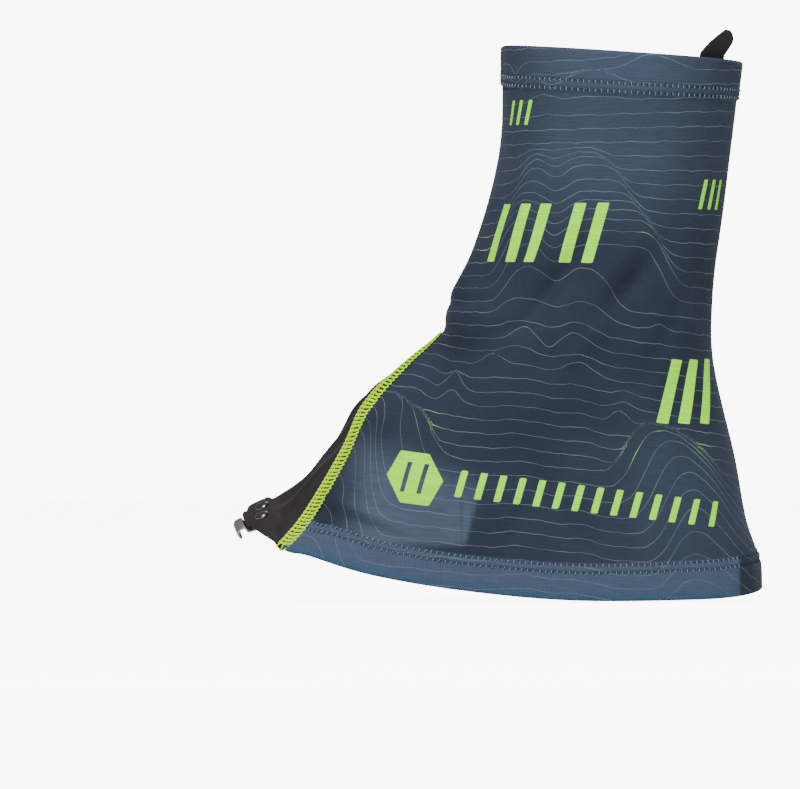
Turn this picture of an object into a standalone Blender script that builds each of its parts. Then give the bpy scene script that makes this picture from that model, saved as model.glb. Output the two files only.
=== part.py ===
"""Low trail gaiter for the left foot: a stretch-fabric tube that flares over the shoe's collar,
a coated instep panel between two flatlock seams, a front tongue with a riveted lace hook,
a heel patch inside the rear hem and a webbing pull tab at the cuff.

The toe points along -X, the wearer's left side faces -Y and +Z is up. The origin is on the
gaiter's middle plane, level with the lowest point of the hem, below the ankle.
"""

import math

import bmesh
import bpy
import numpy as np
from mathutils import Matrix, Vector

# Side outline, as (x, z) in metres. Both lines run from the hem (v = 0) up to the cuff (v = 1).
FRONT_LINE = (
    (-0.1500, 0.0396),
    (-0.1384, 0.0476),
    (-0.1196, 0.0676),
    (-0.1116, 0.0796),
    (-0.0920, 0.0956),
    (-0.0780, 0.1076),
    (-0.0764, 0.1196),
    (-0.0668, 0.1396),
    (-0.0560, 0.1796),
    (-0.0548, 0.2212),
)
BACK_LINE = (
    (0.0482, 0.0044),
    (0.0476, 0.0156),
    (0.0424, 0.0316),
    (0.0380, 0.0556),
    (0.0292, 0.0956),
    (0.0288, 0.1196),
    (0.0336, 0.1596),
    (0.0404, 0.2148),
)
# Lower edge of the fabric from the instep ridge to the heel, as (x, z). HEEL_X is its far end.
HEM_LINE = (
    (-0.1500, 0.0396),
    (-0.1490, 0.0375),
    (-0.1427, 0.0204),
    (-0.1330, 0.0178),
    (-0.1064, 0.0098),
    (-0.0690, 0.0036),
    (-0.0290, 0.0000),
    (0.0180, 0.0001),
    (0.0356, 0.0010),
    (0.0482, 0.0044),
)
HEEL_X = 0.0482
# The wall's length from hem to cuff, which turns a length along the wall into a share v.
WALL_LENGTH = 0.215
# Half of the tube's width in Y, as (v, metres).
HALF_WIDTHS = ((0.0, 0.0400), (0.2, 0.0400), (0.45, 0.0375), (0.6, 0.0375), (1.0, 0.0420))
SHOE_SQUARENESS = 0.60
LEG_SQUARENESS = 0.12
SQUARENESS_ENDS_AT = 0.55

# The instep's top leans towards the wearer's outer side near the front.
INSTEP_LEAN = 0.34
INSTEP_CREST_Y = 0.011
LEAN_ENDS_AT = 0.30
LEAN_HALF_ANGLE = math.radians(14.0)
# The step in angle and in v over which the surface's directions are measured.
SURFACE_STEP = 1e-3

# The two seams start at this angle from the ridge at the hem and meet at the apex.
SEAM_ANGLE = math.radians(22.1)
SEAM_APEX = 0.455
SLIT_ANGLE = math.radians(0.5)
PANEL_TOP = 0.43
PANEL_FRONT_CUT = 0.035
PANEL_EDGE_GAP = math.radians(0.2)
PANEL_COLUMNS = 11
SEAM_WIDTH = 0.0054
SEAM_LEVELS = (0.004, 0.443)
SEAM_REACH = 0.004
SEAM_SECTIONS = 22

FABRIC = 0.0008
GAP = 0.0003
FOLD = 0.0008
ELASTIC = 0.0010
PATCH = 0.0015
THREAD = 0.0004
# The turned-in edges and the elastic start this share inside the hem and the cuff.
EDGE_INSET = 0.003
HEM_DEPTH = 0.070
CUFF_DEPTH = 0.068
HEM_ROWS = (0.056, 0.071)
CUFF_ROWS = (0.054, 0.068)
ROW_WIDTH = 0.0009
PATCH_HALF_ANGLE = math.radians(25.0)
PATCH_LEVELS = (0.006, 0.045, 0.085)
PATCH_COLUMNS = 9
BACK_SEAM_WIDTH = 0.0060
BACK_SEAM_MARGIN = 0.008

COLUMNS = 44
# The ankle joint's axis, and the two parallel planes that bound the part of the tube that bends.
ANKLE_X, ANKLE_Z = -0.012, 0.050
BEND_NORMAL = (0.298, 0.954)
BEND_START = 0.0817
BEND_END = 0.1117
SPLIT_GAP = 0.0005
SPLIT_END = 0.0015

# The tongue: a flat plate that slopes to the toe and leans to the outer side.
TONGUE_ROOT = Vector((-0.1447, -0.0010, 0.0373))
TONGUE_PITCH = math.radians(25.0)
TONGUE_LEAN = math.radians(22.0)
TONGUE_LENGTH = 0.0148
TONGUE_HALF_WIDTH = 0.0110
TONGUE_CORNER = 0.0065
TONGUE_THICKNESS = 0.0012
BACKING_THICKNESS = 0.0010
BACKING_INSET = 0.0012
HOOK_THICKNESS = 0.0009
HOOK_HALF_WIDTH = 0.0075
# The hook runs flat, rises in front of the tongue's tip and turns down in an arc. It narrows.
HOOK_START, HOOK_JOG, HOOK_TIP = 0.0035, 0.0152, 0.0172
HOOK_RISE = 0.0021
HOOK_RADIUS = 0.0021
HOOK_ARC = math.radians(150.0)
HOOK_ARC_STEPS = 8
HOOK_NARROW = 0.0050
# The hook starts to narrow here, past its rivets.
HOOK_WAIST = 0.0105
# Each rivet's place on the tongue, as (along, across), and the hook's middle line across.
RIVETS = {"outer": (0.0076, 0.0056), "inner": (0.0060, -0.0034)}
HOOK_ACROSS = 0.0011
RIVET_RADIUS = 0.0030
RIVET_RIM = 0.0003
RIVET_DOME = 0.0015
# The flat head below, as (share of the cap's radius, depth under the hook).
HEAD_PROFILE = ((0.70, 0.0007), (0.85, 0.0004), (0.85, 0.0))
SHANK_RADIUS = 0.0011
RIVET_SIDES = 16
DOME_STEPS = 4
CUTTER_LENGTH = 0.02

# The pull tab is sewn inside the cuff, on the rear quarter of the outer side.
TAB_ANGLE = math.radians(144.5)
TAB_HALF_WIDTH = 0.0075
TAB_THICKNESS = 0.0016
# The tab's round tip: its centre as (across, up), its radius, and where its arc starts and ends.
TAB_TIP = (-0.0080, 0.0068)
TAB_TIP_RADIUS = 0.0036
TAB_TIP_ARC = (math.radians(54.0), math.radians(205.0))
TAB_TIP_POINTS = 9
# How far the edge towards the toe bulges between the cuff and the tip.
TAB_BULGE = 0.0016
TAB_PIVOT_RISE = 0.0014
TAB_SEWN_LENGTH = 0.0110
TAB_DEPTH = 0.0044
BARTACK = (0.0008, 0.0050, 0.0026)
BARTACK_DOWN = 0.55

COLOURS = {
    "printed_fabric": ((0.053, 0.078, 0.114), 0.75, 0.0),
    "coated_fabric": ((0.040, 0.034, 0.036), 0.55, 0.0),
    "lime_thread": ((0.520, 0.750, 0.050), 0.60, 0.0),
    "navy_thread": ((0.120, 0.170, 0.230), 0.65, 0.0),
    "elastic_band": ((0.020, 0.020, 0.024), 0.80, 0.0),
    "loop_pile": ((0.030, 0.045, 0.070), 0.95, 0.0),
    "webbing": ((0.022, 0.016, 0.018), 0.70, 0.0),
    "steel": ((0.330, 0.315, 0.300), 0.35, 1.0),
    "dark_steel": ((0.160, 0.150, 0.150), 0.30, 1.0),
}


# ---------------------------------------------------------------- curves and the tube's surface


def smooth_line(points, samples=24):
    """A dense line through the points, a centripetal Catmull-Rom curve."""
    p = np.array(points, float)
    p = np.vstack([2 * p[0] - p[1], p, 2 * p[-1] - p[-2]])
    knots = np.concatenate([[0], np.cumsum(np.linalg.norm(np.diff(p, axis=0), axis=1) ** 0.5)])
    line = []
    for i in range(1, len(p) - 2):
        t = np.linspace(knots[i], knots[i + 1], samples, endpoint=False)[:, None]
        k0, k1, k2, k3 = knots[i - 1 : i + 3]
        a = ((k1 - t) * p[i - 1] + (t - k0) * p[i]) / (k1 - k0)
        b = ((k2 - t) * p[i] + (t - k1) * p[i + 1]) / (k2 - k1)
        c = ((k3 - t) * p[i + 1] + (t - k2) * p[i + 2]) / (k3 - k2)
        d = ((k2 - t) * a + (t - k0) * b) / (k2 - k0)
        e = ((k3 - t) * b + (t - k1) * c) / (k3 - k1)
        line.append(((k2 - t) * d + (t - k1) * e) / (k2 - k1))
    return np.vstack([*line, p[-2]])


def by_length(points):
    """(share of the length, dense line) of a smooth line."""
    line = smooth_line(points)
    along = np.concatenate([[0], np.cumsum(np.linalg.norm(np.diff(line, axis=0), axis=1))])
    return along / along[-1], line


FRONT = by_length(FRONT_LINE)
BACK = by_length(BACK_LINE)


def hem_table():
    """(angle, z / HEEL_X) of the lower edge. The angle is 0 at the ridge and pi at the heel."""
    x, z = np.array(HEM_LINE).T
    share = np.clip((x - x[0]) / (x[-1] - x[0]), 0, 1)
    return smooth_line(np.column_stack([np.arccos(1 - 2 * share), z / HEEL_X]))


HEM = hem_table()


def on_line(line, v):
    shares, points = line
    return np.array([np.interp(v, shares, points[:, 0]), np.interp(v, shares, points[:, 1])])


def half_width(v):
    at, widths = np.array(HALF_WIDTHS).T
    return float(np.interp(v, at, widths))


def tube_point(angle, v):
    """A point of the tube's fabric. angle runs from the instep ridge over the outer side (-Y) to
    the heel at pi and back, and v from the hem to the cuff."""
    front, back = on_line(FRONT, v), on_line(BACK, v)
    share = (1 - math.cos(angle)) / 2
    turn = angle if angle <= math.pi else 2 * math.pi - angle
    turn = abs(turn)
    hem_z = np.interp(turn, HEM[:, 0], HEM[:, 1]) * HEEL_X
    straight_z = HEM_LINE[0][1] + (HEM_LINE[-1][1] - HEM_LINE[0][1]) * share
    x, z = front + (back - front) * share
    z += (1 - v) * (hem_z - straight_z)
    fade = min(1.0, v / SQUARENESS_ENDS_AT)
    square = SHOE_SQUARENESS + (LEG_SQUARENESS - SHOE_SQUARENESS) * fade
    y = -half_width(v) * math.sin(angle + 0.5 * square * math.sin(2 * angle))
    lean = max(0.0, 1 - v / LEAN_ENDS_AT) * math.exp(-((turn / LEAN_HALF_ANGLE) ** 4))
    z += INSTEP_LEAN * (y - INSTEP_CREST_Y) * lean
    return np.array([x, y, z])


def tube_normal(angle, v):
    """The outward normal of the tube's surface."""
    low, high = max(0.0, v - SURFACE_STEP), min(1.0, v + SURFACE_STEP)
    around = tube_point(angle + SURFACE_STEP, v) - tube_point(angle - SURFACE_STEP, v)
    up = tube_point(angle, high) - tube_point(angle, low)
    normal = np.cross(around, up)
    return normal / np.linalg.norm(normal)


def seam_angle(v):
    return max(SLIT_ANGLE, SEAM_ANGLE * (1 - v / SEAM_APEX))


def level_of_plane(angle, distance):
    """The v at which the tube's line at this angle crosses a plane of the bend."""
    vs = np.linspace(0, 1, 201)
    points = np.array([tube_point(angle, v) for v in vs])
    heights = points[:, [0, 2]] @ np.array(BEND_NORMAL)
    return float(np.interp(distance, heights, vs))


# ---------------------------------------------------------------- building blocks


def material(slot):
    found = bpy.data.materials.get(slot)
    if found:
        return found
    colour, roughness, metallic = COLOURS[slot]
    made = bpy.data.materials.new(slot)
    made.use_nodes = True
    shader = made.node_tree.nodes["Principled BSDF"]
    shader.inputs["Base Color"].default_value = (*colour, 1)
    shader.inputs["Roughness"].default_value = roughness
    shader.inputs["Metallic"].default_value = metallic
    return made


def make_object(name, slot, mesh_maker, parent=None, smooth=True):
    """An object from a bmesh in world space, or in its parent's space where it has one."""
    mesh = bpy.data.meshes.new(name)
    mesh_maker.to_mesh(mesh)
    mesh_maker.free()
    mesh.materials.append(material(slot))
    if smooth:
        mesh.shade_smooth()
        mesh.set_sharp_from_angle(angle=math.radians(40))
    made = bpy.data.objects.new(name, mesh)
    bpy.context.scene.collection.objects.link(made)
    made.parent = parent
    return made


def empty_at(name, matrix):
    made = bpy.data.objects.new(name, None)
    bpy.context.scene.collection.objects.link(made)
    made.matrix_world = matrix
    made.empty_display_size = 0.02
    return made


def skin(under, over, ring):
    """A closed bmesh between two grids of points, each a list of rows. With ring, each row's last
    column joins its first."""
    built = bmesh.new()
    layers = [[[built.verts.new(p) for p in row] for row in grid] for grid in (under, over)]
    rows, columns = len(under), len(under[0])
    span = columns if ring else columns - 1
    for j in range(rows - 1):
        for i in range(span):
            k = (i + 1) % columns
            low, high = layers[0], layers[1]
            built.faces.new((high[j][i], high[j][k], high[j + 1][k], high[j + 1][i]))
            built.faces.new((low[j][i], low[j + 1][i], low[j + 1][k], low[j][k]))
    rims = [[(0, i) for i in range(columns)], [(rows - 1, i) for i in range(columns)]]
    for line, flip in zip(rims, (False, True)):
        for i in range(span):
            a, b = line[i], line[(i + 1) % columns]
            rim(built, layers, a, b, flip)
    if not ring:
        for column, flip in ((0, True), (columns - 1, False)):
            for j in range(rows - 1):
                rim(built, layers, (j, column), (j + 1, column), flip)
    bmesh.ops.recalc_face_normals(built, faces=built.faces)
    return built


def rim(built, layers, a, b, flip):
    corners = [
        layers[0][a[0]][a[1]],
        layers[0][b[0]][b[1]],
        layers[1][b[0]][b[1]],
        layers[1][a[0]][a[1]],
    ]
    built.faces.new(corners[::-1] if flip else corners)


def offset_grids(places, inner, outer, origin):
    """The two grids of points at these (angle, v) places, moved along the normal."""
    under, over = [], []
    for row in places:
        points = [(tube_point(*place), tube_normal(*place)) for place in row]
        under.append([Vector(p + n * inner) - origin for p, n in points])
        over.append([Vector(p + n * outer) - origin for p, n in points])
    return under, over


def tube_piece(name, slot, places, inner, outer, ring=False, parent=None):
    """A piece of cloth that follows the tube, from inner to outer beyond its surface."""
    origin = parent.matrix_world.translation if parent else Vector()
    under, over = offset_grids(places, inner, outer, origin)
    return make_object(name, slot, skin(under, over, ring), parent)


def around(count, ring):
    return [i / count for i in range(count if ring else count + 1)]


def skirt_places(lows, tops, rows):
    """Places round the skirt, from one side of the instep panel to the other. lows and tops give
    v at a plain angle."""
    places = []
    for t in rows:
        row = []
        for s in around(COLUMNS, ring=False):
            plain = 2 * math.pi * s
            low, high = lows(plain), tops(plain)
            v = low + (high - low) * t
            edge = seam_angle(v)
            row.append((edge + s * (2 * math.pi - 2 * edge), v))
        places.append(row)
    return places


def ring_places(lows, tops, rows):
    angles = [2 * math.pi * s for s in around(COLUMNS, ring=True)]
    bounds = [(lows(a), tops(a)) for a in angles]
    return [[(a, lo + (hi - lo) * t) for a, (lo, hi) in zip(angles, bounds)] for t in rows]


def constant(value):
    return lambda angle: value


def even_rows(count):
    return [j / count for j in range(count + 1)]


# ---------------------------------------------------------------- the skirt, on the shoe


def bend_low(angle):
    return level_of_plane(angle, BEND_START - SPLIT_GAP / 2)


def make_lower_panel():
    rows = (0, 0.06, 0.13, 0.22, 0.34, 0.46, 0.58, 0.7, 0.8, 0.9, 1)
    places = skirt_places(constant(0.0), bend_low, rows)
    tube_piece("lower_panel", "printed_fabric", places, 0, FABRIC)


def make_hem():
    places = skirt_places(constant(EDGE_INSET), constant(HEM_DEPTH), even_rows(2))
    tube_piece("hem_inner_fold", "printed_fabric", places, -GAP - FOLD, -GAP)
    for name, level in zip(("hem_stitch_lower", "hem_stitch_upper"), HEM_ROWS):
        half = ROW_WIDTH / 2 / WALL_LENGTH
        places = skirt_places(constant(level - half), constant(level + half), even_rows(1))
        places = [row[1:-1] for row in places]
        tube_piece(name, "navy_thread", places, FABRIC + GAP, FABRIC + GAP + THREAD)


def make_heel_patch():
    shares = [2 * s - 1 for s in even_rows(PATCH_COLUMNS)]
    angles = [math.pi + PATCH_HALF_ANGLE * share for share in shares]
    places = [[(a, v) for a in angles] for v in PATCH_LEVELS]
    outside = -GAP - FOLD - 2 * GAP
    tube_piece("heel_patch", "loop_pile", places, outside - PATCH, outside)


def make_instep_panel():
    places = []
    for t in even_rows(9):
        row = []
        for s in np.linspace(-1, 1, PANEL_COLUMNS):
            low = PANEL_FRONT_CUT * (1 - s**4)
            v = low + (PANEL_TOP - low) * t
            row.append((s * (seam_angle(v) - PANEL_EDGE_GAP), v))
        places.append(row)
    tube_piece("instep_panel", "coated_fabric", places, 0, FABRIC)


def make_flatlock_seam(name, side):
    """A flat strip of thread over the joint of two fabrics. side is 1 on the outer side."""
    lift = 4 * GAP
    under, over = [], []
    for v in np.linspace(*SEAM_LEVELS, SEAM_SECTIONS):
        angle = side * seam_angle(v)
        spot, normal = tube_point(angle, v), tube_normal(angle, v)
        ahead, behind = v + SEAM_REACH, v - SEAM_REACH
        run = tube_point(side * seam_angle(ahead), ahead)
        run = run - tube_point(side * seam_angle(behind), behind)
        across = np.cross(run, normal)
        across = across / np.linalg.norm(across)
        across = across if across[1] * side < 0 else -across
        inward = min(SEAM_WIDTH / 2, abs(spot[1]) - GAP)
        ends = (spot - across * inward, spot + across * (SEAM_WIDTH - inward))
        under.append([Vector(p + normal * (FABRIC + lift)) for p in ends])
        over.append([Vector(p + normal * (FABRIC + lift + 2 * THREAD)) for p in ends])
    make_object(name, "lime_thread", skin(under, over, ring=False))


def make_back_seam(name, low, high, rows, parent=None):
    """The seam allowance inside the tube at the back."""
    origin = parent.matrix_world.translation if parent else Vector()
    outer = -3 * GAP
    under, over = [], []
    for v in np.linspace(low, high, rows + 1):
        spot, normal = tube_point(math.pi, v), tube_normal(math.pi, v)
        half = np.array([0, BACK_SEAM_WIDTH / 2, 0])
        ends = (spot - half, spot + half)
        under.append([Vector(p + normal * (outer - FABRIC)) - origin for p in ends])
        over.append([Vector(p + normal * outer) - origin for p in ends])
    make_object(name, "printed_fabric", skin(under, over, ring=False), parent)


def make_skirt():
    make_lower_panel()
    make_hem()
    make_heel_patch()
    make_instep_panel()
    make_flatlock_seam("outer_flatlock_seam", 1)
    make_flatlock_seam("inner_flatlock_seam", -1)
    low = PATCH_LEVELS[-1] + BACK_SEAM_MARGIN
    make_back_seam("back_seam_lower", low, bend_low(math.pi) - SPLIT_END, 4)


# ---------------------------------------------------------------- the ankle and the leg tube


def make_ankle():
    def low(angle):
        return level_of_plane(angle, BEND_START + SPLIT_GAP / 2)

    def high(angle):
        return level_of_plane(angle, BEND_END - SPLIT_GAP / 2)

    places = ring_places(low, high, even_rows(4))
    tube_piece("ankle_panel", "printed_fabric", places, 0, FABRIC, ring=True)
    ends = (low(math.pi) + SPLIT_END, high(math.pi) - SPLIT_END)
    make_back_seam("back_seam_ankle", *ends, 3)


def make_leg():
    pivot = Matrix.Translation((ANKLE_X, 0, ANKLE_Z))
    leg = empty_at("ankle_axis", pivot)
    bpy.context.view_layer.update()

    def low(angle):
        return level_of_plane(angle, BEND_END + SPLIT_GAP / 2)

    places = ring_places(low, constant(1.0), even_rows(6))
    tube_piece("upper_panel", "printed_fabric", places, 0, FABRIC, ring=True, parent=leg)
    places = ring_places(constant(1 - CUFF_DEPTH), constant(1 - EDGE_INSET), even_rows(1))
    layer = -GAP
    tube_piece("cuff_elastic", "elastic_band", places, layer - ELASTIC, layer, True, leg)
    layer -= ELASTIC + GAP
    tube_piece("cuff_inner_fold", "printed_fabric", places, layer - FOLD, layer, True, leg)
    for name, drop in zip(("cuff_stitch_upper", "cuff_stitch_lower"), CUFF_ROWS):
        half = ROW_WIDTH / 2 / WALL_LENGTH
        level = 1 - drop
        places = ring_places(constant(level - half), constant(level + half), even_rows(1))
        tube_piece(
            name, "navy_thread", places, FABRIC + GAP, FABRIC + GAP + THREAD, True, leg
        )
    ends = (low(math.pi) + SPLIT_END, 1 - CUFF_DEPTH - BACK_SEAM_MARGIN)
    make_back_seam("back_seam_upper", *ends, 6, leg)
    make_pull_tab(leg)


# ---------------------------------------------------------------- the pull tab


def tab_frame():
    """The tab's hinge: local X along the cuff, local Y out of the gaiter, local Z up its wall."""
    spot = Vector(tube_point(TAB_ANGLE, 1.0))
    up = (spot - Vector(tube_point(TAB_ANGLE, 1 - CUFF_DEPTH))).normalized()
    run = Vector(tube_normal(TAB_ANGLE, 1 - CUFF_DEPTH / 2)).cross(up).normalized()
    out = up.cross(run)
    place = spot - out * TAB_DEPTH + up * TAB_PIVOT_RISE
    turn = Matrix((run, out, up)).transposed()
    return Matrix.Translation(place) @ turn.to_4x4()


def plate(outline, low, high, axis_pair):
    """An outline extruded between low and high. axis_pair maps (a, b, depth) to local XYZ."""
    built = bmesh.new()
    rings = [[built.verts.new(axis_pair(a, b, d)) for a, b in outline] for d in (low, high)]
    built.faces.new(rings[0])
    built.faces.new(rings[1])
    count = len(outline)
    for i in range(count):
        k = (i + 1) % count
        built.faces.new((rings[0][i], rings[0][k], rings[1][k], rings[1][i]))
    bmesh.ops.recalc_face_normals(built, faces=built.faces)
    return built


def rounded_tip(half, start, end, radius, steps=5):
    """An outline that is square at start and has two round corners at end, as (across, along)."""
    points = [(-half, start), (half, start)]
    for corner, first in ((half - radius, 0.0), (radius - half, math.pi / 2)):
        for i in range(steps + 1):
            a = first + math.pi / 2 * i / steps
            points.append((corner + radius * math.cos(a), end - radius + radius * math.sin(a)))
    return points


def upright(a, b, d):
    return Vector((a, d, b))


def tab_outline():
    """The free end's outline as (across, up): wide at the cuff, narrowing to a round tip."""
    tip = []
    for a in np.linspace(*TAB_TIP_ARC, TAB_TIP_POINTS):
        across = TAB_TIP[0] + TAB_TIP_RADIUS * math.cos(a)
        tip.append((across, TAB_TIP[1] + TAB_TIP_RADIUS * math.sin(a)))
    root, end = (TAB_HALF_WIDTH, GAP / 2), tip[0]
    edge = [root]
    for t in (0.25, 0.5, 0.75):
        across = root[0] + (end[0] - root[0]) * t + TAB_BULGE * math.sin(math.pi * t)
        edge.append((across, root[1] + (end[1] - root[1]) * t))
    return [(-TAB_HALF_WIDTH, GAP / 2), *edge, *tip]


def make_pull_tab(leg):
    frame = tab_frame()
    pivot = empty_at("tab_axis", frame)
    half = TAB_THICKNESS / 2
    tab = plate(tab_outline(), -half, half, upright)
    make_object("pull_tab", "webbing", tab, pivot)
    sewn = [
        (-TAB_HALF_WIDTH, -TAB_SEWN_LENGTH),
        (TAB_HALF_WIDTH, -TAB_SEWN_LENGTH),
        (TAB_HALF_WIDTH, -GAP / 2 - half),
        (-TAB_HALF_WIDTH, -GAP / 2 - half),
    ]
    anchor = plate(sewn, -half, half, upright)
    to_leg = Matrix.Translation(-leg.matrix_world.translation) @ frame
    anchor.transform(to_leg)
    make_object("tab_sewn_end", "webbing", anchor, leg)
    depth, half_long, half_high = BARTACK
    middle = -TAB_SEWN_LENGTH * BARTACK_DOWN
    box = [
        (-half_long, middle - half_high),
        (half_long, middle - half_high),
        (half_long, middle + half_high),
        (-half_long, middle + half_high),
    ]
    bartack = plate(box, -half - GAP - depth, -half - GAP, upright)
    bartack.transform(to_leg)
    make_object("tab_bartack", "navy_thread", bartack, leg)


# ---------------------------------------------------------------- the hook tongue


def tongue_frame():
    """The tongue's hinge: local X along the tongue to its tip, local Y across to the outer side,
    local Z out of its upper face."""
    along = Vector((-math.cos(TONGUE_PITCH), 0, -math.sin(TONGUE_PITCH)))
    flat_up = Vector((-math.sin(TONGUE_PITCH), 0, math.cos(TONGUE_PITCH)))
    flat_across = Vector((0, -1, 0))
    up = flat_up * math.cos(TONGUE_LEAN) + flat_across * math.sin(TONGUE_LEAN)
    across = up.cross(along)
    turn = Matrix((along, across, up)).transposed()
    return Matrix.Translation(TONGUE_ROOT) @ turn.to_4x4()


def flat(a, b, d):
    return Vector((b, a, d))


def cut_shank_holes(made, pivot):
    """Two round holes for the rivets' shanks, with clearance."""
    for side_name, (along, across) in RIVETS.items():
        tool = bmesh.new()
        bmesh.ops.create_cone(
            tool,
            cap_ends=True,
            segments=RIVET_SIDES,
            radius1=SHANK_RADIUS + GAP,
            radius2=SHANK_RADIUS + GAP,
            depth=CUTTER_LENGTH,
            matrix=Matrix.Translation((along, across, 0)),
        )
        cutter = make_object(f"cutter_{made.name}_{side_name}", "steel", tool, pivot, False)
        cutter.hide_render = True
        cutter.display_type = "WIRE"
        cut = made.modifiers.new(f"hole_{side_name}", "BOOLEAN")
        cut.operation = "DIFFERENCE"
        cut.object = cutter


def make_rivet(side_name, spot, pivot, top, bottom):
    """A domed cap with its shank, and the flat head that closes it from below."""
    seat = top + GAP
    profile = [
        (SHANK_RADIUS, bottom),
        (SHANK_RADIUS, seat),
        (RIVET_RADIUS, seat),
        (RIVET_RADIUS, seat + RIVET_RIM),
    ]
    for i in range(1, DOME_STEPS):
        a = math.pi / 2 * i / DOME_STEPS
        rise = seat + RIVET_RIM + (RIVET_DOME - RIVET_RIM) * math.sin(a)
        profile.append((RIVET_RADIUS * math.cos(a), rise))
    place = Matrix.Translation((*spot, 0))
    cap = turned(profile, seat + RIVET_DOME)
    cap.transform(place)
    make_object(f"{side_name}_rivet_cap", "dark_steel", cap, pivot)
    low = bottom - GAP
    head = turned([(RIVET_RADIUS * share, low - depth) for share, depth in HEAD_PROFILE], low)
    head.transform(place)
    make_object(f"{side_name}_rivet_head", "dark_steel", head, pivot)


def turned(profile, top):
    """A closed solid turned about Z from (radius, height) pairs that run upwards."""
    built = bmesh.new()
    rings = []
    for radius, height in profile:
        ring = []
        for i in range(RIVET_SIDES):
            a = 2 * math.pi * i / RIVET_SIDES
            ring.append(built.verts.new((radius * math.cos(a), radius * math.sin(a), height)))
        rings.append(ring)
    for low, high in zip(rings, rings[1:]):
        for i in range(RIVET_SIDES):
            k = (i + 1) % RIVET_SIDES
            built.faces.new((low[i], low[k], high[k], high[i]))
    built.faces.new(rings[0][::-1])
    if top > profile[-1][1]:
        tip = built.verts.new((0, 0, top))
        for i in range(RIVET_SIDES):
            built.faces.new((rings[-1][i], rings[-1][(i + 1) % RIVET_SIDES], tip))
    else:
        built.faces.new(rings[-1])
    bmesh.ops.recalc_face_normals(built, faces=built.faces)
    return built


def hook_line(level):
    """The hook's middle line as (along, up, half width)."""
    line = [
        (HOOK_START, level, HOOK_HALF_WIDTH),
        (HOOK_WAIST, level, HOOK_HALF_WIDTH),
        (HOOK_JOG, level, (HOOK_HALF_WIDTH + HOOK_NARROW) / 2),
    ]
    for i in range(HOOK_ARC_STEPS + 1):
        a = HOOK_ARC * i / HOOK_ARC_STEPS
        up = level + HOOK_RISE - HOOK_RADIUS * (1 - math.cos(a))
        line.append((HOOK_TIP + HOOK_RADIUS * math.sin(a), up, HOOK_NARROW))
    return line


def make_lace_hook(pivot, level):
    line = np.array(hook_line(level))
    tangents = np.gradient(line[:, :2], axis=0)
    tangents /= np.linalg.norm(tangents, axis=1)[:, None]
    under, over = [], []
    for (along, up, half), (run, rise) in zip(line, tangents):
        for grid, shift in ((under, -HOOK_THICKNESS / 2), (over, HOOK_THICKNESS / 2)):
            spot = (along - rise * shift, up + run * shift)
            edges = (HOOK_ACROSS - half, HOOK_ACROSS + half)
            grid.append([Vector((spot[0], across, spot[1])) for across in edges])
    hook = make_object("lace_hook", "steel", skin(under, over, ring=False), pivot)
    cut_shank_holes(hook, pivot)


def make_tongue():
    pivot = empty_at("tongue_axis", tongue_frame())
    outline = rounded_tip(TONGUE_HALF_WIDTH, GAP, TONGUE_LENGTH, TONGUE_CORNER)
    cloth = plate(outline, 0, TONGUE_THICKNESS, flat)
    cut_shank_holes(make_object("hook_tongue", "coated_fabric", cloth, pivot), pivot)
    top = -GAP
    outline = rounded_tip(
        TONGUE_HALF_WIDTH - BACKING_INSET,
        2 * BACKING_INSET,
        TONGUE_LENGTH - BACKING_INSET,
        TONGUE_CORNER - BACKING_INSET,
    )
    backing = plate(outline, top - BACKING_THICKNESS, top, flat)
    cut_shank_holes(make_object("tongue_backing", "webbing", backing, pivot), pivot)
    top -= BACKING_THICKNESS + GAP
    make_lace_hook(pivot, top - HOOK_THICKNESS / 2)
    bottom = top - HOOK_THICKNESS - GAP / 2
    for side_name, spot in RIVETS.items():
        make_rivet(side_name, spot, pivot, TONGUE_THICKNESS, bottom)


def main():
    for old in list(bpy.data.objects):
        bpy.data.objects.remove(old)
    make_skirt()
    make_ankle()
    make_leg()
    make_tongue()
    bpy.context.view_layer.update()


main()
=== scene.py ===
"""The finished look of the low trail gaiter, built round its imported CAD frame.

The cloth follows the same tube as the CAD: angle runs from the instep ridge over the outer side
(-Y) to the heel at pi and back, and v from the hem at 0 to the cuff at 1. All sizes are in metres.
"""

import contextlib
import math

import bmesh
import bpy
import numpy as np
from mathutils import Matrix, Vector


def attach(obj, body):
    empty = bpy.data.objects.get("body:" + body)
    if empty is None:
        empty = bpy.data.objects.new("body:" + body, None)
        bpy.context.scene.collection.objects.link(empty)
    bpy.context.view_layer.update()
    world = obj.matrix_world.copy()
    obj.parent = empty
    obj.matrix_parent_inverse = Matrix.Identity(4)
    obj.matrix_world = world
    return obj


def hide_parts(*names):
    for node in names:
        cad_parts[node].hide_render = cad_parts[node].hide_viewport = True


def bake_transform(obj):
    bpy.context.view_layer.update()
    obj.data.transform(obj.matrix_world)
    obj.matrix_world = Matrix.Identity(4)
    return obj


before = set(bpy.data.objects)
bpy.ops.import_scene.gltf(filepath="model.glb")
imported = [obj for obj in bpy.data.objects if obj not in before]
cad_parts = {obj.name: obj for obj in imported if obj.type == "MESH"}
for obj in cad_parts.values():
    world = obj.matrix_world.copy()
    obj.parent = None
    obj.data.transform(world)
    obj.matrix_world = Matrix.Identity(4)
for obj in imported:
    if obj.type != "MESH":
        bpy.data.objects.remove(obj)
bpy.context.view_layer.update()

# ---- the tube's sizes

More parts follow.
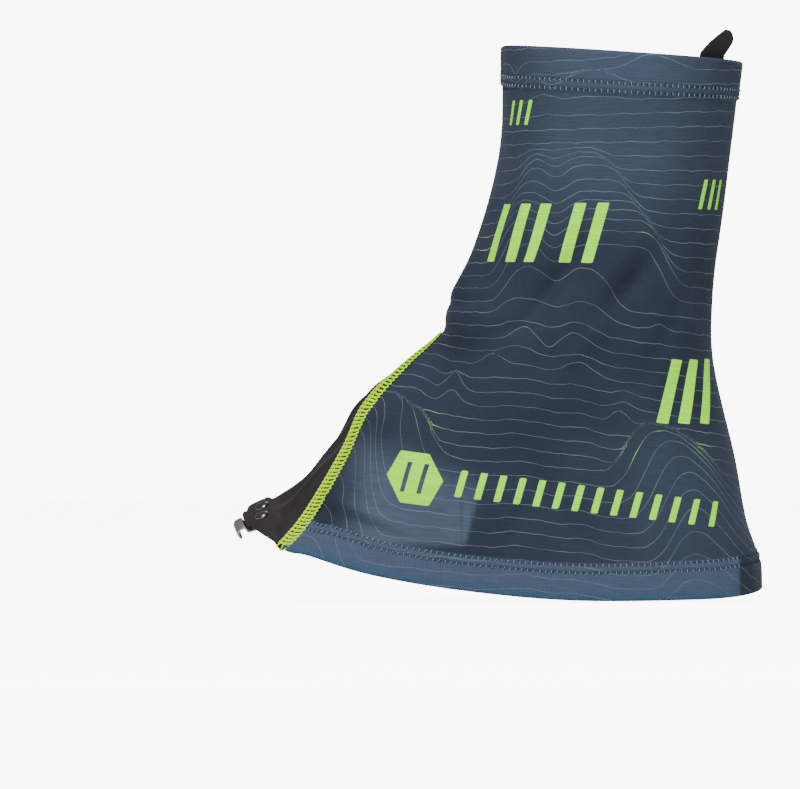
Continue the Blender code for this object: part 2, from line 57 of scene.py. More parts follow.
FRONT_LINE = (
    (-0.1500, 0.0396),
    (-0.1384, 0.0476),
    (-0.1196, 0.0676),
    (-0.1116, 0.0796),
    (-0.0920, 0.0956),
    (-0.0780, 0.1076),
    (-0.0764, 0.1196),
    (-0.0668, 0.1396),
    (-0.0560, 0.1796),
    (-0.0548, 0.2212),
)
BACK_LINE = (
    (0.0482, 0.0044),
    (0.0476, 0.0156),
    (0.0424, 0.0316),
    (0.0380, 0.0556),
    (0.0292, 0.0956),
    (0.0288, 0.1196),
    (0.0336, 0.1596),
    (0.0404, 0.2148),
)
HEM_LINE = (
    (-0.1500, 0.0396),
    (-0.1490, 0.0375),
    (-0.1427, 0.0204),
    (-0.1330, 0.0178),
    (-0.1064, 0.0098),
    (-0.0690, 0.0036),
    (-0.0290, 0.0000),
    (0.0180, 0.0001),
    (0.0356, 0.0010),
    (0.0482, 0.0044),
)
HEEL_X = 0.0482
WALL_LENGTH = 0.215
HALF_WIDTHS = ((0.0, 0.0400), (0.2, 0.0400), (0.45, 0.0375), (0.6, 0.0375), (1.0, 0.0420))
SHOE_SQUARENESS = 0.60
LEG_SQUARENESS = 0.12
SQUARENESS_ENDS_AT = 0.55
INSTEP_LEAN = 0.34
INSTEP_CREST_Y = 0.011
LEAN_ENDS_AT = 0.30
LEAN_HALF_ANGLE = math.radians(14.0)
SEAM_ANGLE = math.radians(22.1)
SEAM_APEX = 0.455
HEM_ROWS = (0.056, 0.071)
CUFF_ROWS = (0.946, 0.932)
STEP = 1e-3
WELD_REACH = 1e-6
SHARP_ANGLE = math.radians(50.0)


def srgb(red, green, blue):
    """A display colour, 0 to 255, as linear RGBA."""
    shares = [c / 255 for c in (red, green, blue)]
    linear = [c / 12.92 if c <= 0.04045 else ((c + 0.055) / 1.055) ** 2.4 for c in shares]
    return (*linear, 1.0)


# ---- the tube's surface


def smooth_line(points, samples=24):
    """A dense line through the points, a centripetal Catmull-Rom curve."""
    p = np.array(points, float)
    p = np.vstack([2 * p[0] - p[1], p, 2 * p[-1] - p[-2]])
    knots = np.concatenate([[0], np.cumsum(np.linalg.norm(np.diff(p, axis=0), axis=1) ** 0.5)])
    line = []
    for i in range(1, len(p) - 2):
        t = np.linspace(knots[i], knots[i + 1], samples, endpoint=False)[:, None]
        k, corner = knots[i - 1 : i + 3], p[i - 1 : i + 3]

        def between(low, high, start, end):
            return ((k[high] - t) * start + (t - k[low]) * end) / (k[high] - k[low])

        a, b, c = (between(n, n + 1, corner[n], corner[n + 1]) for n in range(3))
        line.append(between(1, 2, between(0, 2, a, b), between(1, 3, b, c)))
    return np.vstack([*line, p[-2]])


def run_length(points):
    """The length from the first point to each point."""
    return np.concatenate([[0], np.cumsum(np.linalg.norm(np.diff(points, axis=0), axis=1))])


def by_length(points):
    line = smooth_line(points)
    along = run_length(line)
    return along / along[-1], line


def hem_table():
    x, z = np.array(HEM_LINE).T
    share = np.clip((x - x[0]) / (x[-1] - x[0]), 0, 1)
    return smooth_line(np.column_stack([np.arccos(1 - 2 * share), z / HEEL_X]))


FRONT, BACK, HEM = by_length(FRONT_LINE), by_length(BACK_LINE), hem_table()


def circle(sides):
    """The angles of this many points round a circle."""
    return np.linspace(0, 2 * np.pi, sides, endpoint=False)


def unit(vectors):
    return vectors / np.maximum(np.linalg.norm(vectors, axis=-1, keepdims=True), 1e-12)


def on_line(line, v):
    shares, points = line
    return np.stack([np.interp(v, shares, points[:, i]) for i in (0, 1)], axis=-1)


def smooth_step(value, low, high):
    t = np.clip((value - low) / (high - low), 0, 1)
    return t * t * (3 - 2 * t)


def tube(angle, v):
    """Points of the tube, for arrays of angle and v."""
    angle, v = np.broadcast_arrays(np.asarray(angle, float), np.asarray(v, float))
    front, back = on_line(FRONT, v), on_line(BACK, v)
    share = (1 - np.cos(angle)) / 2
    turn = np.abs((angle + np.pi) % (2 * np.pi) - np.pi)
    hem_z = np.interp(turn, HEM[:, 0], HEM[:, 1]) * HEEL_X
    straight_z = HEM_LINE[0][1] + (HEM_LINE[-1][1] - HEM_LINE[0][1]) * share
    spot = front + (back - front) * share[..., None]
    x, z = spot[..., 0], spot[..., 1] + (1 - v) * (hem_z - straight_z)
    fade = np.minimum(1.0, v / SQUARENESS_ENDS_AT)
    square = SHOE_SQUARENESS + (LEG_SQUARENESS - SHOE_SQUARENESS) * fade
    width = np.interp(v, *np.array(HALF_WIDTHS).T)
    y = -width * np.sin(angle + 0.5 * square * np.sin(2 * angle))
    lean = np.maximum(0, 1 - v / LEAN_ENDS_AT) * np.exp(-((turn / LEAN_HALF_ANGLE) ** 4))
    return np.stack([x, y, z + INSTEP_LEAN * (y - INSTEP_CREST_Y) * lean], axis=-1)


def wall_frame(angle, v):
    """(point, direction round, direction up, outward normal) on the tube."""
    v = np.clip(v, 0, 1)
    up = unit(tube(angle, np.minimum(v + STEP, 1)) - tube(angle, np.maximum(v - STEP, 0)))
    along = unit(tube(angle + STEP, v) - tube(angle - STEP, v))
    return tube(angle, v), along, up, unit(np.cross(along, up))


def wall(angle, v, lift):
    """Points lift outside the tube. v may run past its two edges."""
    angle, v, lift = np.broadcast_arrays(angle, v, lift)
    spot, _, up, normal = wall_frame(angle, v)
    past = (v - np.clip(v, 0, 1)) * WALL_LENGTH
    return spot + up * past[..., None] + normal * lift[..., None]


def seam_angle(v):
    return np.maximum(0.0, SEAM_ANGLE * (1 - v / SEAM_APEX))


# ---- meshes


def linked(name, data):
    """A new object that holds the data, in the scene."""
    made = bpy.data.objects.new(name, data)
    bpy.context.scene.collection.objects.link(made)
    return made


def new_object(name, vertices, faces, material):
    mesh = bpy.data.meshes.new(name)
    mesh.from_pydata([tuple(p) for p in vertices], [], faces)
    mesh.materials.append(material)
    mesh.shade_smooth()
    return linked(name, mesh)


def ring_faces(count, sides, base=0):
    """Faces of a closed skin round rings of points that are listed ring by ring."""
    faces = []
    for start in range(base, base + (count - 1) * sides, sides):
        for k in range(sides):
            a, b = start + k, start + (k + 1) % sides
            faces.append((a, b, b + sides, a + sides))
    last = base + (count - 1) * sides
    return faces + [tuple(range(base, base + sides))[::-1], tuple(range(last, last + sides))]


def grid_faces(rows, columns):
    """Quads of a grid whose vertices are listed row by row."""
    j, i = np.meshgrid(np.arange(rows - 1), np.arange(columns - 1), indexing="ij")
    a = (j * columns + i).ravel()
    return np.column_stack([a, a + 1, a + columns + 1, a + columns]).tolist()


def set_attribute(made, key, values):
    """Gives the mesh's points a number each, or a place each where there are three for each."""
    places = values.shape[-1] == 3
    attribute = made.data.attributes.new(key, "FLOAT_VECTOR" if places else "FLOAT", "POINT")
    field = "vector" if places else "value"
    attribute.data.foreach_set(field, values.astype(np.float32).ravel())


@contextlib.contextmanager
def opened(made):
    """The object's mesh, open for editing."""
    built = bmesh.new()
    built.from_mesh(made.data)
    yield built
    built.to_mesh(made.data)
    built.free()


def register(made, slot, body, *nodes):
    """The piece stands for the CAD nodes and rides on the body. slot is not used."""
    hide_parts(*nodes)
    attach(made, body)
    return made


def sheet_from_grid(name, points, material, thickness, attributes=(), weld=False, back=None):
    """A sheet of cloth through a grid of points, with its thickness behind its face. back is the
    material of its other face."""
    rows, columns = points.shape[:2]
    made = new_object(name, points.reshape(-1, 3), grid_faces(rows, columns), material)
    for key, values in dict(attributes).items():
        set_attribute(made, key, values)
    if weld:
        with opened(made) as built:
            bmesh.ops.remove_doubles(built, verts=built.verts, dist=WELD_REACH)
    solid = made.modifiers.new("thickness", "SOLIDIFY")
    solid.thickness = thickness
    solid.offset = -1.0
    if back is not None:
        made.data.materials.append(back)
        solid.material_offset = 1
    return made


def tubes(name, paths, radius, material, sides=6, flat=1.0):
    """One mesh of many threads. Each path is (points, normals), and radius is one number or one
    for each; flat squeezes the thread's section along the normal."""
    vertices, faces = [], []
    sizes = np.broadcast_to(radius, len(paths))
    turns = circle(sides)
    for (points, normals), size in zip(paths, sizes):
        points, normals = np.asarray(points), np.asarray(normals)
        tangents = unit(np.gradient(points, axis=0))
        across = unit(np.cross(tangents, normals))
        up = np.cross(across, tangents)
        faces += ring_faces(len(points), sides, len(vertices))
        for i in range(len(points)):
            ring = np.cos(turns)[:, None] * across[i] + np.sin(turns)[:, None] * up[i] * flat
            vertices.extend(points[i] + ring * size)
    return new_object(name, vertices, faces, material)


def loft(name, rings, material, cloth=None):
    """A closed solid through rings of points, capped at both ends. cloth gives the attribute of
    the same name, a place on the cloth for each point."""
    rings = np.asarray(rings)
    made = new_object(name, rings.reshape(-1, 3), ring_faces(*rings.shape[:2]), material)
    if cloth is not None:
        set_attribute(made, "cloth", np.asarray(cloth))
    with opened(made) as built:
        bmesh.ops.recalc_face_normals(built, faces=built.faces)
    made.data.set_sharp_from_angle(angle=SHARP_ANGLE)
    return made


def plate_section(half_width, half_thickness, sides=36, roundness=0.30):
    """(across, up) points round a flat section with rounded edges."""
    turns = circle(sides)
    c, s = np.cos(turns), np.sin(turns)
    across = np.sign(c) * np.abs(c) ** roundness * half_width
    up = np.sign(s) * np.abs(s) ** roundness * half_thickness
    return across, up


# ---- shader building


class Shader:
    """A material being built. Each method adds one node and returns its output."""

    def __init__(self, name):
        self.material = bpy.data.materials.new(name)
        self.material.use_nodes = True
        self.tree = self.material.node_tree
        self.surface = self.tree.nodes["Principled BSDF"]

    def put(self, socket, value):
        if isinstance(value, bpy.types.NodeSocket):
            self.tree.links.new(value, socket)
        else:
            socket.default_value = value

    def node(self, kind, inputs, output=0, **settings):
        made = self.tree.nodes.new("ShaderNode" + kind)
        for key, value in settings.items():
            setattr(made, key, value)
        for key, value in inputs.items():
            self.put(made.inputs[key], value)
        return made.outputs[output]

    def math(self, operation, a, b=0.0, clamp=False):
        return self.node("Math", {0: a, 1: b}, operation=operation, use_clamp=clamp)

    def times(self, a, b):
        return self.math("MULTIPLY", a, b)

    def scalar(self, key):
        return self.node("Attribute", {}, "Fac", attribute_name=key)

    def vector(self, key):
        return self.node("Attribute", {}, "Vector", attribute_name=key)

    def step(self, value, low, high):
        """0 below low and 1 above high, with a smooth rise."""
        return self.node(
            "MapRange",
            {"Value": value, "From Min": low, "From Max": high},
            interpolation_type="SMOOTHSTEP",
        )

    def mix(self, share, a, b):
        return self.node("Mix", {0: share, 6: a, 7: b}, 2, data_type="RGBA")

    def own_place(self):
        return self.node("TexCoord", {}, "Object")

    def stretch(self, vector, scale):
        return self.node("Mapping", {"Vector": vector, "Scale": scale})

    def noise(self, vector, scale, detail=3.0):
        inputs = {"Vector": vector, "Scale": scale, "Detail": detail}
        return self.node("TexNoise", inputs, "Fac")

    def wave(self, vector, scale, distortion=0.0, direction="X"):
        inputs = {"Vector": vector, "Scale": scale, "Distortion": distortion}
        return self.node("TexWave", inputs, "Fac", bands_direction=direction)

    def bump(self, height, strength, distance, normal=None):
        inputs = {"Height": height, "Strength": strength, "Distance": distance}
        if normal is not None:
            inputs["Normal"] = normal
        return self.node("Bump", inputs)

    def finish(self, **inputs):
        for key, value in inputs.items():
            self.put(self.surface.inputs[key.replace("_", " ")], value)
        return self.material


# ---- materials

NAVY = srgb(27, 34, 47)
NAVY_LIGHT = srgb(34, 42, 57)
# Painted light on the sewn hem and cuff bands.
PAINTED_LIGHT_BLUE = srgb(73, 86, 109)
# Painted teal light of the shoe showing through the hem's edge.
PAINTED_SHOE_TEAL = srgb(44, 77, 101)
# Painted sheen and light on the stretched knit.
PAINTED_SHEEN_BLUE = srgb(75, 86, 105)
# The dark of the fine knit rows, and of the painted shade in the stitch rows.
SHADE_AND_KNIT_DARK = srgb(20, 27, 40)
LINE_GREY = srgb(118, 134, 144)
LINE_LIME = srgb(150, 205, 90)
PRINT_LIME = srgb(150, 240, 22)
THREAD_LIME = srgb(190, 232, 0)
LINE_HALF_WIDTH = 0.00012
RIB_SCALE = 420.0


def printed_fabric():
    """Stretch knit with contour lines, lime marks, fine knit rows and ribbed sewn bands, and
    painted light:
    the shoe showing through the hem, a highlight on the cuff, sheen on stretched knit and shade in
    the stitch rows.
    """
    s = Shader("printed_fabric")
    cloth = s.vector("cloth")
    broad = s.noise(cloth, 22.0, 2.0)
    base = s.mix(s.step(broad, 0.35, 0.7), NAVY, NAVY_LIGHT)
    band = s.scalar("band")
    # Painted light: the shoe showing through the hem, and a highlight across the cuff's middle.
    base = s.mix(band, base, PAINTED_LIGHT_BLUE)
    # Painted teal light of the shoe showing through at the hem's edge.
    base = s.mix(s.scalar("edge"), base, PAINTED_SHOE_TEAL)
    # Painted sheen and light where the knit is stretched over the calf, the collar and the laces.
    base = s.mix(s.scalar("painted_sheen"), base, PAINTED_SHEEN_BLUE)
    share = s.math("FRACT", s.scalar("contour"))
    off = s.math("SUBTRACT", 0.5, s.math("ABSOLUTE", s.math("SUBTRACT", share, 0.5)))
    distance = s.math("DIVIDE", off, s.scalar("contour_slope"))
    lime = s.scalar("lime_line")
    strength = s.times(s.step(s.noise(cloth, 60.0, 1.0), 0.35, 0.65), 0.26)
    strength = s.math("ADD", s.math("ADD", strength, 0.24), s.times(lime, 0.4))
    line = s.step(distance, LINE_HALF_WIDTH * 1.3, LINE_HALF_WIDTH * 0.7)
    ink = s.mix(lime, LINE_GREY, LINE_LIME)
    base = s.mix(s.times(line, strength), base, ink)
    mark = s.step(s.scalar("mark"), 0.00010, -0.00010)
    base = s.mix(mark, base, PRINT_LIME)
    rows = s.noise(s.stretch(cloth, (90.0, 2600.0, 1.0)), 1.0, 2.0)
    grain = s.noise(s.stretch(cloth, (1500.0, 1500.0, 1.0)), 1.0, 1.0)
    streaks = s.times(s.step(rows, 0.62, 0.35), 0.22)
    base = s.mix(streaks, base, SHADE_AND_KNIT_DARK)
    ribs = s.wave(cloth, RIB_SCALE, 0.4)
    rib_shade = s.times(s.math("SUBTRACT", 1.0, ribs), s.times(band, 0.5))
    base = s.mix(rib_shade, base, NAVY)
    # Painted shade along the stitch rows, deepest at each stitch.
    base = s.mix(s.times(s.scalar("groove_shade"), 0.9), base, SHADE_AND_KNIT_DARK)
    knit = s.bump(rows, 0.30, 0.00012)
    knit = s.bump(grain, 0.25, 0.00010, knit)
    knit = s.bump(s.times(ribs, band), 0.6, 0.00015, knit)
    return s.finish(
        Base_Color=base,
        Roughness=s.step(grain, -1.6, 1.4),
        Normal=knit,
        Specular_IOR_Level=0.16,
        Sheen_Weight=0.05,
        Sheen_Roughness=0.5,
        Sheen_Tint=srgb(190, 205, 225),
    )


def fabric_back():
    """The knit's unprinted inner face."""
    s = Shader("fabric_back")
    cloth = s.vector("cloth")
    rows = s.noise(s.stretch(cloth, (2600.0, 90.0, 1.0)), 1.0, 2.0)
    base = s.mix(rows, srgb(40, 46, 58), srgb(60, 68, 84))
    normal = s.bump(rows, 0.3, 0.00012)
    return s.finish(
        Base_Color=base, Roughness=0.85, Normal=normal, Specular_IOR_Level=0.16, Sheen_Weight=0.10
    )


def coated_fabric():
    s = Shader("coated_fabric")
    place = s.own_place()
    broad = s.noise(place, 60.0, 3.0)
    fine = s.noise(place, 2200.0, 2.0)
    base = s.mix(broad, srgb(24, 20, 21), srgb(34, 29, 30))
    rough = s.step(broad, -1.2, 1.5)
    normal = s.bump(fine, 0.25, 0.00008)
    normal = s.bump(broad, 0.2, 0.0006, normal)
    return s.finish(
        Base_Color=base, Roughness=rough, Normal=normal, Specular_IOR_Level=0.2, Sheen_Weight=0.04
    )


def thread(name, dark, light):
    """Twisted thread with a slight change of colour along it."""
    s = Shader(name)
    place = s.own_place()
    change = s.noise(place, 900.0, 2.0)
    twist = s.wave(place, 1400.0, 1.5, "DIAGONAL")
    base = s.mix(change, dark, light)
    normal = s.bump(twist, 0.4, 0.00008)
    return s.finish(Base_Color=base, Roughness=0.7, Normal=normal, Specular_IOR_Level=0.12)


def webbing(name, dark, light, scale):
    """A plain weave, by the piece's cloth attribute."""
    s = Shader(name)
    place = s.vector("cloth")
    warp = s.wave(place, scale, 0.4)
    weft = s.wave(place, scale, 0.4, "Y")
    weave = s.times(warp, weft)
    fuzz = s.noise(place, 2500.0, 2.0)
    base = s.mix(s.times(weave, fuzz), dark, light)
    normal = s.bump(weave, 0.6, 0.00012)
    return s.finish(
        Base_Color=base, Roughness=0.75, Normal=normal, Specular_IOR_Level=0.2, Sheen_Weight=0.05
    )


def loop_pile():
    s = Shader("loop_pile")
    place = s.own_place()
    fuzz = s.noise(place, 1500.0, 4.0)
    base = s.mix(fuzz, srgb(24, 32, 46), srgb(50, 62, 84))
    normal = s.bump(fuzz, 1.0, 0.0006)
    return s.finish(Base_Color=base, Roughness=0.95, Normal=normal, Sheen_Weight=0.6)


def metal(name, colour, roughness, scratch):
    s = Shader(name)
    place = s.own_place()
    wear = s.noise(place, 420.0, 4.0)
    streak = s.noise(s.stretch(place, (400.0, 6000.0, 400.0)), 1.0, 2.0)
    ends = {"To Min": roughness * 0.7, "To Max": roughness * 1.4}
    rough = s.node("MapRange", {"Value": wear, **ends})
    normal = s.bump(streak, scratch, 0.00003)
    return s.finish(Base_Color=colour, Metallic=1.0, Roughness=rough, Normal=normal)


# ---- the print

LINE_PITCH = 0.0055
FIRST_LINE = 0.0003
# How far the lines sink per metre towards the heel, as (z, slope), about this x.
TILTS = ((0.0, 0.09), (0.05, 0.12), (0.10, 0.12), (0.13, 0.045), (0.17, 0.0), (0.195, -0.035))
TILT_CENTRE_X = -0.02
# Ranges of hills, as (level, rise, start p, end p): the lines rise between start and end.
CALF_RANGE = (
    (0.094, 0.0020, -0.056, -0.018),
    (0.106, 0.0040, -0.056, -0.016),
    (0.111, 0.0090, -0.056, -0.014),
    (0.117, 0.0185, -0.054, -0.012),
    (0.122, 0.0205, -0.056, 0.012),
    (0.130, 0.0200, -0.058, 0.010),
    (0.140, 0.0170, -0.058, 0.005),
    (0.151, 0.0130, -0.055, -0.002),
    (0.162, 0.0135, -0.050, -0.008),
    (0.173, 0.0065, -0.049, -0.015),
    (0.182, 0.0, -0.048, -0.018),
)
HEEL_RANGE = (
    (-0.012, 0.0030, 0.016, 0.034),
    (0.006, 0.0230, 0.014, 0.034),
    (0.017, 0.0320, 0.014, 0.036),
    (0.028, 0.0330, 0.010, 0.037),
    (0.0388, 0.0325, 0.002, 0.033),
    (0.0443, 0.0295, -0.003, 0.031),
    (0.0498, 0.0255, -0.007, 0.030),
    (0.0520, 0.0050, -0.004, 0.030),
    (0.066, 0.0020, -0.003, 0.026),
    (0.078, 0.0, -0.003, 0.020),
)
FRONT_RANGE = (
    (-0.012, 0.0100, -1.0, -0.130),
    (0.011, 0.0400, -1.0, -0.116),
    (0.017, 0.0412, -1.0, -0.112),
    (0.0333, 0.0387, -1.0, -0.106),
    (0.0388, 0.0348, -1.0, -0.097),
    (0.0443, 0.0262, -1.0, -0.089),
    (0.0498, 0.0188, -1.0, -0.083),
    (0.0520, 0.0040, -1.0, -0.083),
    (0.0660, 0.0020, -1.0, -0.085),
    (0.0720, 0.0042, -1.0, -0.090),
    (0.0830, 0.0030, -1.0, -0.090),
    (0.100, 0.0, -1.0, -0.080),
)
# How softly each range starts and ends.
RANGE_SLOPES = ((0.0026, 0.0026), (0.0034, 0.0085), (0.0024, 0.0024))
SADDLE = (-0.0345, 0.0065, 0.36)
# Single hills: (p, level, height, half length, half depth).
HILLS = (
    (-0.0768, 0.0755, 0.0080, 0.0045, 0.0058),
    (-0.0600, 0.0880, 0.0046, 0.0060, 0.0035),
    (-0.0530, 0.0940, 0.0016, 0.0050, 0.0030),
    (-0.0470, 0.0983, 0.0045, 0.0055, 0.0040),
    (-0.0270, 0.1009, 0.0045, 0.0055, 0.0040),
    (-0.0370, 0.1000, -0.0030, 0.0040, 0.0040),
    (-0.0247, 0.0894, 0.0044, 0.0065, 0.0040),
    (-0.0067, 0.0796, 0.0045, 0.0050, 0.0035),
    (-0.0087, 0.0718, 0.0046, 0.0042, 0.0026),
    (0.0090, 0.1100, 0.0020, 0.0045, 0.0030),
    (-0.0390, 0.1965, 0.0036, 0.0065, 0.0030),
    (-0.0450, 0.2030, 0.0060, 0.0050, 0.0040),
    (-0.0200, 0.2030, 0.0075, 0.0130, 0.0040),
    (0.0040, 0.2110, 0.0080, 0.0120, 0.0040),
    (-0.0560, 0.2130, -0.0050, 0.0040, 0.0040),
)
RIPPLES = ((420.0, 150.0, 1.3, 0.00018), (1000.0, 330.0, 2.1, 0.00010))
# Short stretches of line in lime, as (p, w, radius).
LIME_SPOTS = (
    (0.0010, 0.1450, 0.0030),
    (-0.0928, 0.0717, 0.0025),
    (-0.0852, 0.0638, 0.0058),
    (-0.0040, 0.0610, 0.0045),
    (0.0076, 0.0697, 0.0020),
    (0.0270, 0.0665, 0.0045),
    (-0.0700, 0.1400, 0.0060),
)
# The steepest slope of the table that counts: it jumps where lines join.
STEEPEST = 6.0
PRINT_STEP = 0.0004
PRINT_P = np.arange(-0.200, 0.090, PRINT_STEP)
PRINT_W = np.arange(-0.025, 0.250, PRINT_STEP)


def range_rise(table, slopes, p, level):
    levels, rises, starts, ends = np.array(table).T
    rise = np.interp(level, levels, rises)
    start, end = np.interp(level, levels, starts), np.interp(level, levels, ends)
    left = 1 / (1 + np.exp(np.clip((start - p) / slopes[0], -50, 50)))
    return rise * left / (1 + np.exp(np.clip((p - end) / slopes[1], -50, 50)))


def line_rise(p, level):
    """How far a contour line lies above its flat level."""
    centre, half, depth = SADDLE
    saddle = 1 - depth * np.exp(-(((p - centre) / half) ** 2))
    rise = range_rise(CALF_RANGE, RANGE_SLOPES[0], p, level) * saddle
    rise += range_rise(HEEL_RANGE, RANGE_SLOPES[1], p, level)
    rise += range_rise(FRONT_RANGE, RANGE_SLOPES[2], p, level)
    for centre, height, size, half_long, half_deep in HILLS:
        rise += size * np.exp(
            -(((p - centre) / half_long) ** 2) - ((level - height) / half_deep) ** 2
        )
    for along, deep, phase, size in RIPPLES:
        rise += size * np.sin(along * p + deep * level + phase)
    return rise


def contour_tables():
    """Tables over (p, w) of the level of the line through each place, and of its slope. A nearer
    line hides what lies behind it, so lines join along a ridge."""
    levels = np.arange(PRINT_W[0] - 0.05, PRINT_W[-1] + 0.01, PRINT_STEP)
    p, level = np.meshgrid(PRINT_P, levels, indexing="ij")
    height = np.maximum.accumulate(level + line_rise(p, level), axis=1)
    height += np.arange(len(levels)) * 1e-9
    table = np.array([np.interp(PRINT_W, column, levels) for column in height])
    return table, np.minimum(np.hypot(*np.gradient(table, PRINT_STEP)), STEEPEST)


def read_table(table, p, w):
    """The table's value at each (p, w), between its four nearest entries."""
    i = np.clip((p - PRINT_P[0]) / PRINT_STEP, 0, len(PRINT_P) - 1.001)
    j = np.clip((w - PRINT_W[0]) / PRINT_STEP, 0, len(PRINT_W) - 1.001)
    a, b = i.astype(int), j.astype(int)
    s, t = i - a, j - b
    low = table[a, b] * (1 - t) + table[a, b + 1] * t
    high = table[a + 1, b] * (1 - t) + table[a + 1, b + 1] * t
    return low * (1 - s) + high * s


# Lime marks. A bar is (x, z, width, height): its middle is where the near side shows it, and its
# size is the cloth's own. The small bars in a row sink towards the heel.
BAR_LEAN = 0.28
SMALL_BARS = 14
BARS = (
    *((x, 0.1460, 0.0046, 0.0240) for x in (-0.0560, -0.0485, -0.0410, -0.0275, -0.0185)),
    *((x, 0.1940, 0.0020, 0.0100) for x in (-0.0510, -0.0482, -0.0448)),
    *((x, 0.1615, 0.0022, 0.0112) for x in (0.0245, 0.0280, 0.0307)),
    *((x, 0.0830, 0.0052, 0.0260) for x in (0.0115, 0.0195, 0.0262)),
    *((-0.0715 + 0.0077 * i, 0.0462 - 0.00092 * i, 0.0027, 0.0105) for i in range(SMALL_BARS)),
)
# The hexagon (x, z, radius) and the two slots in it, as (offset, width, height).
HEXAGON = (-0.0899, 0.0485, 0.0116)
SLOTS = ((-0.0034, 0.0019, 0.0120), (0.0034, 0.0019, 0.0120))


def bar_corners(p, w, width, height):
    half, rise = width / 2, height / 2
    lean = BAR_LEAN * rise
    return [
        (p - half - lean, w - rise),
        (p + half - lean, w - rise),
        (p + half + lean, w + rise),
        (p - half + lean, w + rise),
    ]


def hexagon_corners(p, w, radius):
    turns = [math.pi / 3 * i for i in range(6)]
    return [(p + radius * math.cos(a), w + radius * math.sin(a)) for a in turns]


def polygon_distance(corners, p, w):
    """Signed distance to a convex polygon, negative inside."""
    inside = np.full(p.shape, -1.0)
    for a, b in zip(np.array(corners), np.roll(corners, -1, axis=0)):
        edge = (b - a) / np.linalg.norm(b - a)
        inside = np.maximum(inside, (p - a[0]) * edge[1] - (w - a[1]) * edge[0])
    return inside


def mark_distance(x, z, p, w, near):
    """Signed distance to the nearest lime mark. x and z are the cloth's places in the side view,
    and near says which of them are on the near side."""

    def seen_at(mark_x, mark_z):
        gap = (x - mark_x) ** 2 + (z - mark_z) ** 2 + np.where(near, 0, 1)
        at = np.unravel_index(np.argmin(gap), gap.shape)
        return p[at] + mark_x - x[at], w[at] + mark_z - z[at]

    shape = np.full(p.shape, 1.0)
    for bar_x, bar_z, width, height in BARS:
        corners = bar_corners(*seen_at(bar_x, bar_z), width, height)
        shape = np.minimum(shape, polygon_distance(corners, p, w))
    hex_p, hex_w = seen_at(*HEXAGON[:2])
    mark = polygon_distance(hexagon_corners(hex_p, hex_w, HEXAGON[2]), p, w)
    for offset, width, height in SLOTS:
        corners = bar_corners(hex_p + offset, hex_w, width, height)
        mark = np.maximum(mark, -polygon_distance(corners, p, w))
    return np.minimum(shape, mark)


# ---- the printed cloth

CLOTH_COLUMNS = 520
CLOTH_THICKNESS = 0.0005
BODY_LIFT = 0.0003
HEM_LIFT = 0.0009
CUFF_LIFT = 0.0010
HEM_INNER = -0.0010
CUFF_INNER = -0.0024
# Soft folds in the cloth: (x, z, half length, half width, slope in degrees, height).
FOLDS = (
    (-0.0360, 0.1240, 0.0200, 0.0040, 52.0, -0.0030),
    (-0.0440, 0.1300, 0.0200, 0.0045, 52.0, 0.0019),
    (-0.0040, 0.1240, 0.0180, 0.0048, 54.0, -0.0028),
    (-0.0130, 0.1290, 0.0180, 0.0050, 54.0, 0.0018),
    (0.0140, 0.1120, 0.0200, 0.0046, 62.0, -0.0020),
    (-0.0180, 0.1060, 0.0200, 0.0045, 48.0, 0.0016),
    (-0.0700, 0.1190, 0.0100, 0.0024, 4.0, -0.0015),
    (-0.0700, 0.1130, 0.0120, 0.0036, 8.0, 0.0009),
    (-0.0560, 0.1060, 0.0160, 0.0040, 20.0, -0.0015),
    (-0.0500, 0.1490, 0.0180, 0.0060, 62.0, 0.0012),
    (0.0160, 0.0830, 0.0200, 0.0070, 72.0, -0.0012),
    (-0.0300, 0.0840, 0.0260, 0.0080, 35.0, 0.0008),
    (-0.1130, 0.0360, 0.0150, 0.0030, 158.7, 0.0015),
    (-0.1110, 0.0300, 0.0150, 0.0030, 158.7, -0.0014),
    (-0.0760, 0.0430, 0.0300, 0.0120, 172.0, 0.0020),
    (-0.0480, 0.0330, 0.0120, 0.0050, 80.0, -0.0012),
    (-0.1000, 0.0640, 0.0160, 0.0050, 128.0, 0.0011),
)
# Where the painted sheen lies on the cloth stretched over the laces, in the side view:
# (start x, end x, low z, high z).
LACE_SHEEN_BOX = (-0.124, -0.0608, 0.020, 0.050)
# How its right-hand edge leans, and how its upper edge falls towards the heel.
LACE_SHEEN_LEAN = 0.28
LACE_SHEEN_SLANT = 0.45
# How pale the painted sheen and light make the stretched calf, the shoe's collar and the laces,
# then the heights between which it grows up the calf and falls off above the collar, and where
# each fades to its sides.
CALF_PALE, COLLAR_PALE, LACES_PALE = 0.27, 0.18, 0.76
CALF_RISE = (0.130, 0.178)
COLLAR_FALL = (0.050, 0.080)
CALF_FRONT, CALF_BACK = (-0.070, -0.030), (0.000, 0.035)
COLLAR_FRONT, COLLAR_BACK = (-0.040, 0.010), (0.028, 0.046)
# The painted light of the shoe showing through the sewn hem ends here, where the heel's patch
# begins behind it.
PATCH_EDGE = (0.0374, 0.0396)
# How pale the sewn hem and cuff are painted, and where the cuff's paleness starts, in v and in x,
# and ends.
# The hem's paleness is painted light of the shoe showing through it; the cuff's is a painted
# highlight across its lit middle.
HEM_PALE, CUFF_PALE = 0.74, 0.20
CUFF_START = (0.926, 0.934)
CUFF_RISE = (-0.062, -0.026)
CUFF_FALL = (0.006, 0.040)
# The painted teal light of the shoe showing through at the hem's edge, and how far up it fades, in
# v.
TEAL_STRENGTH, TEAL_FALL = 0.8, (0.0, 0.030)
STITCH_PITCH = 0.00236
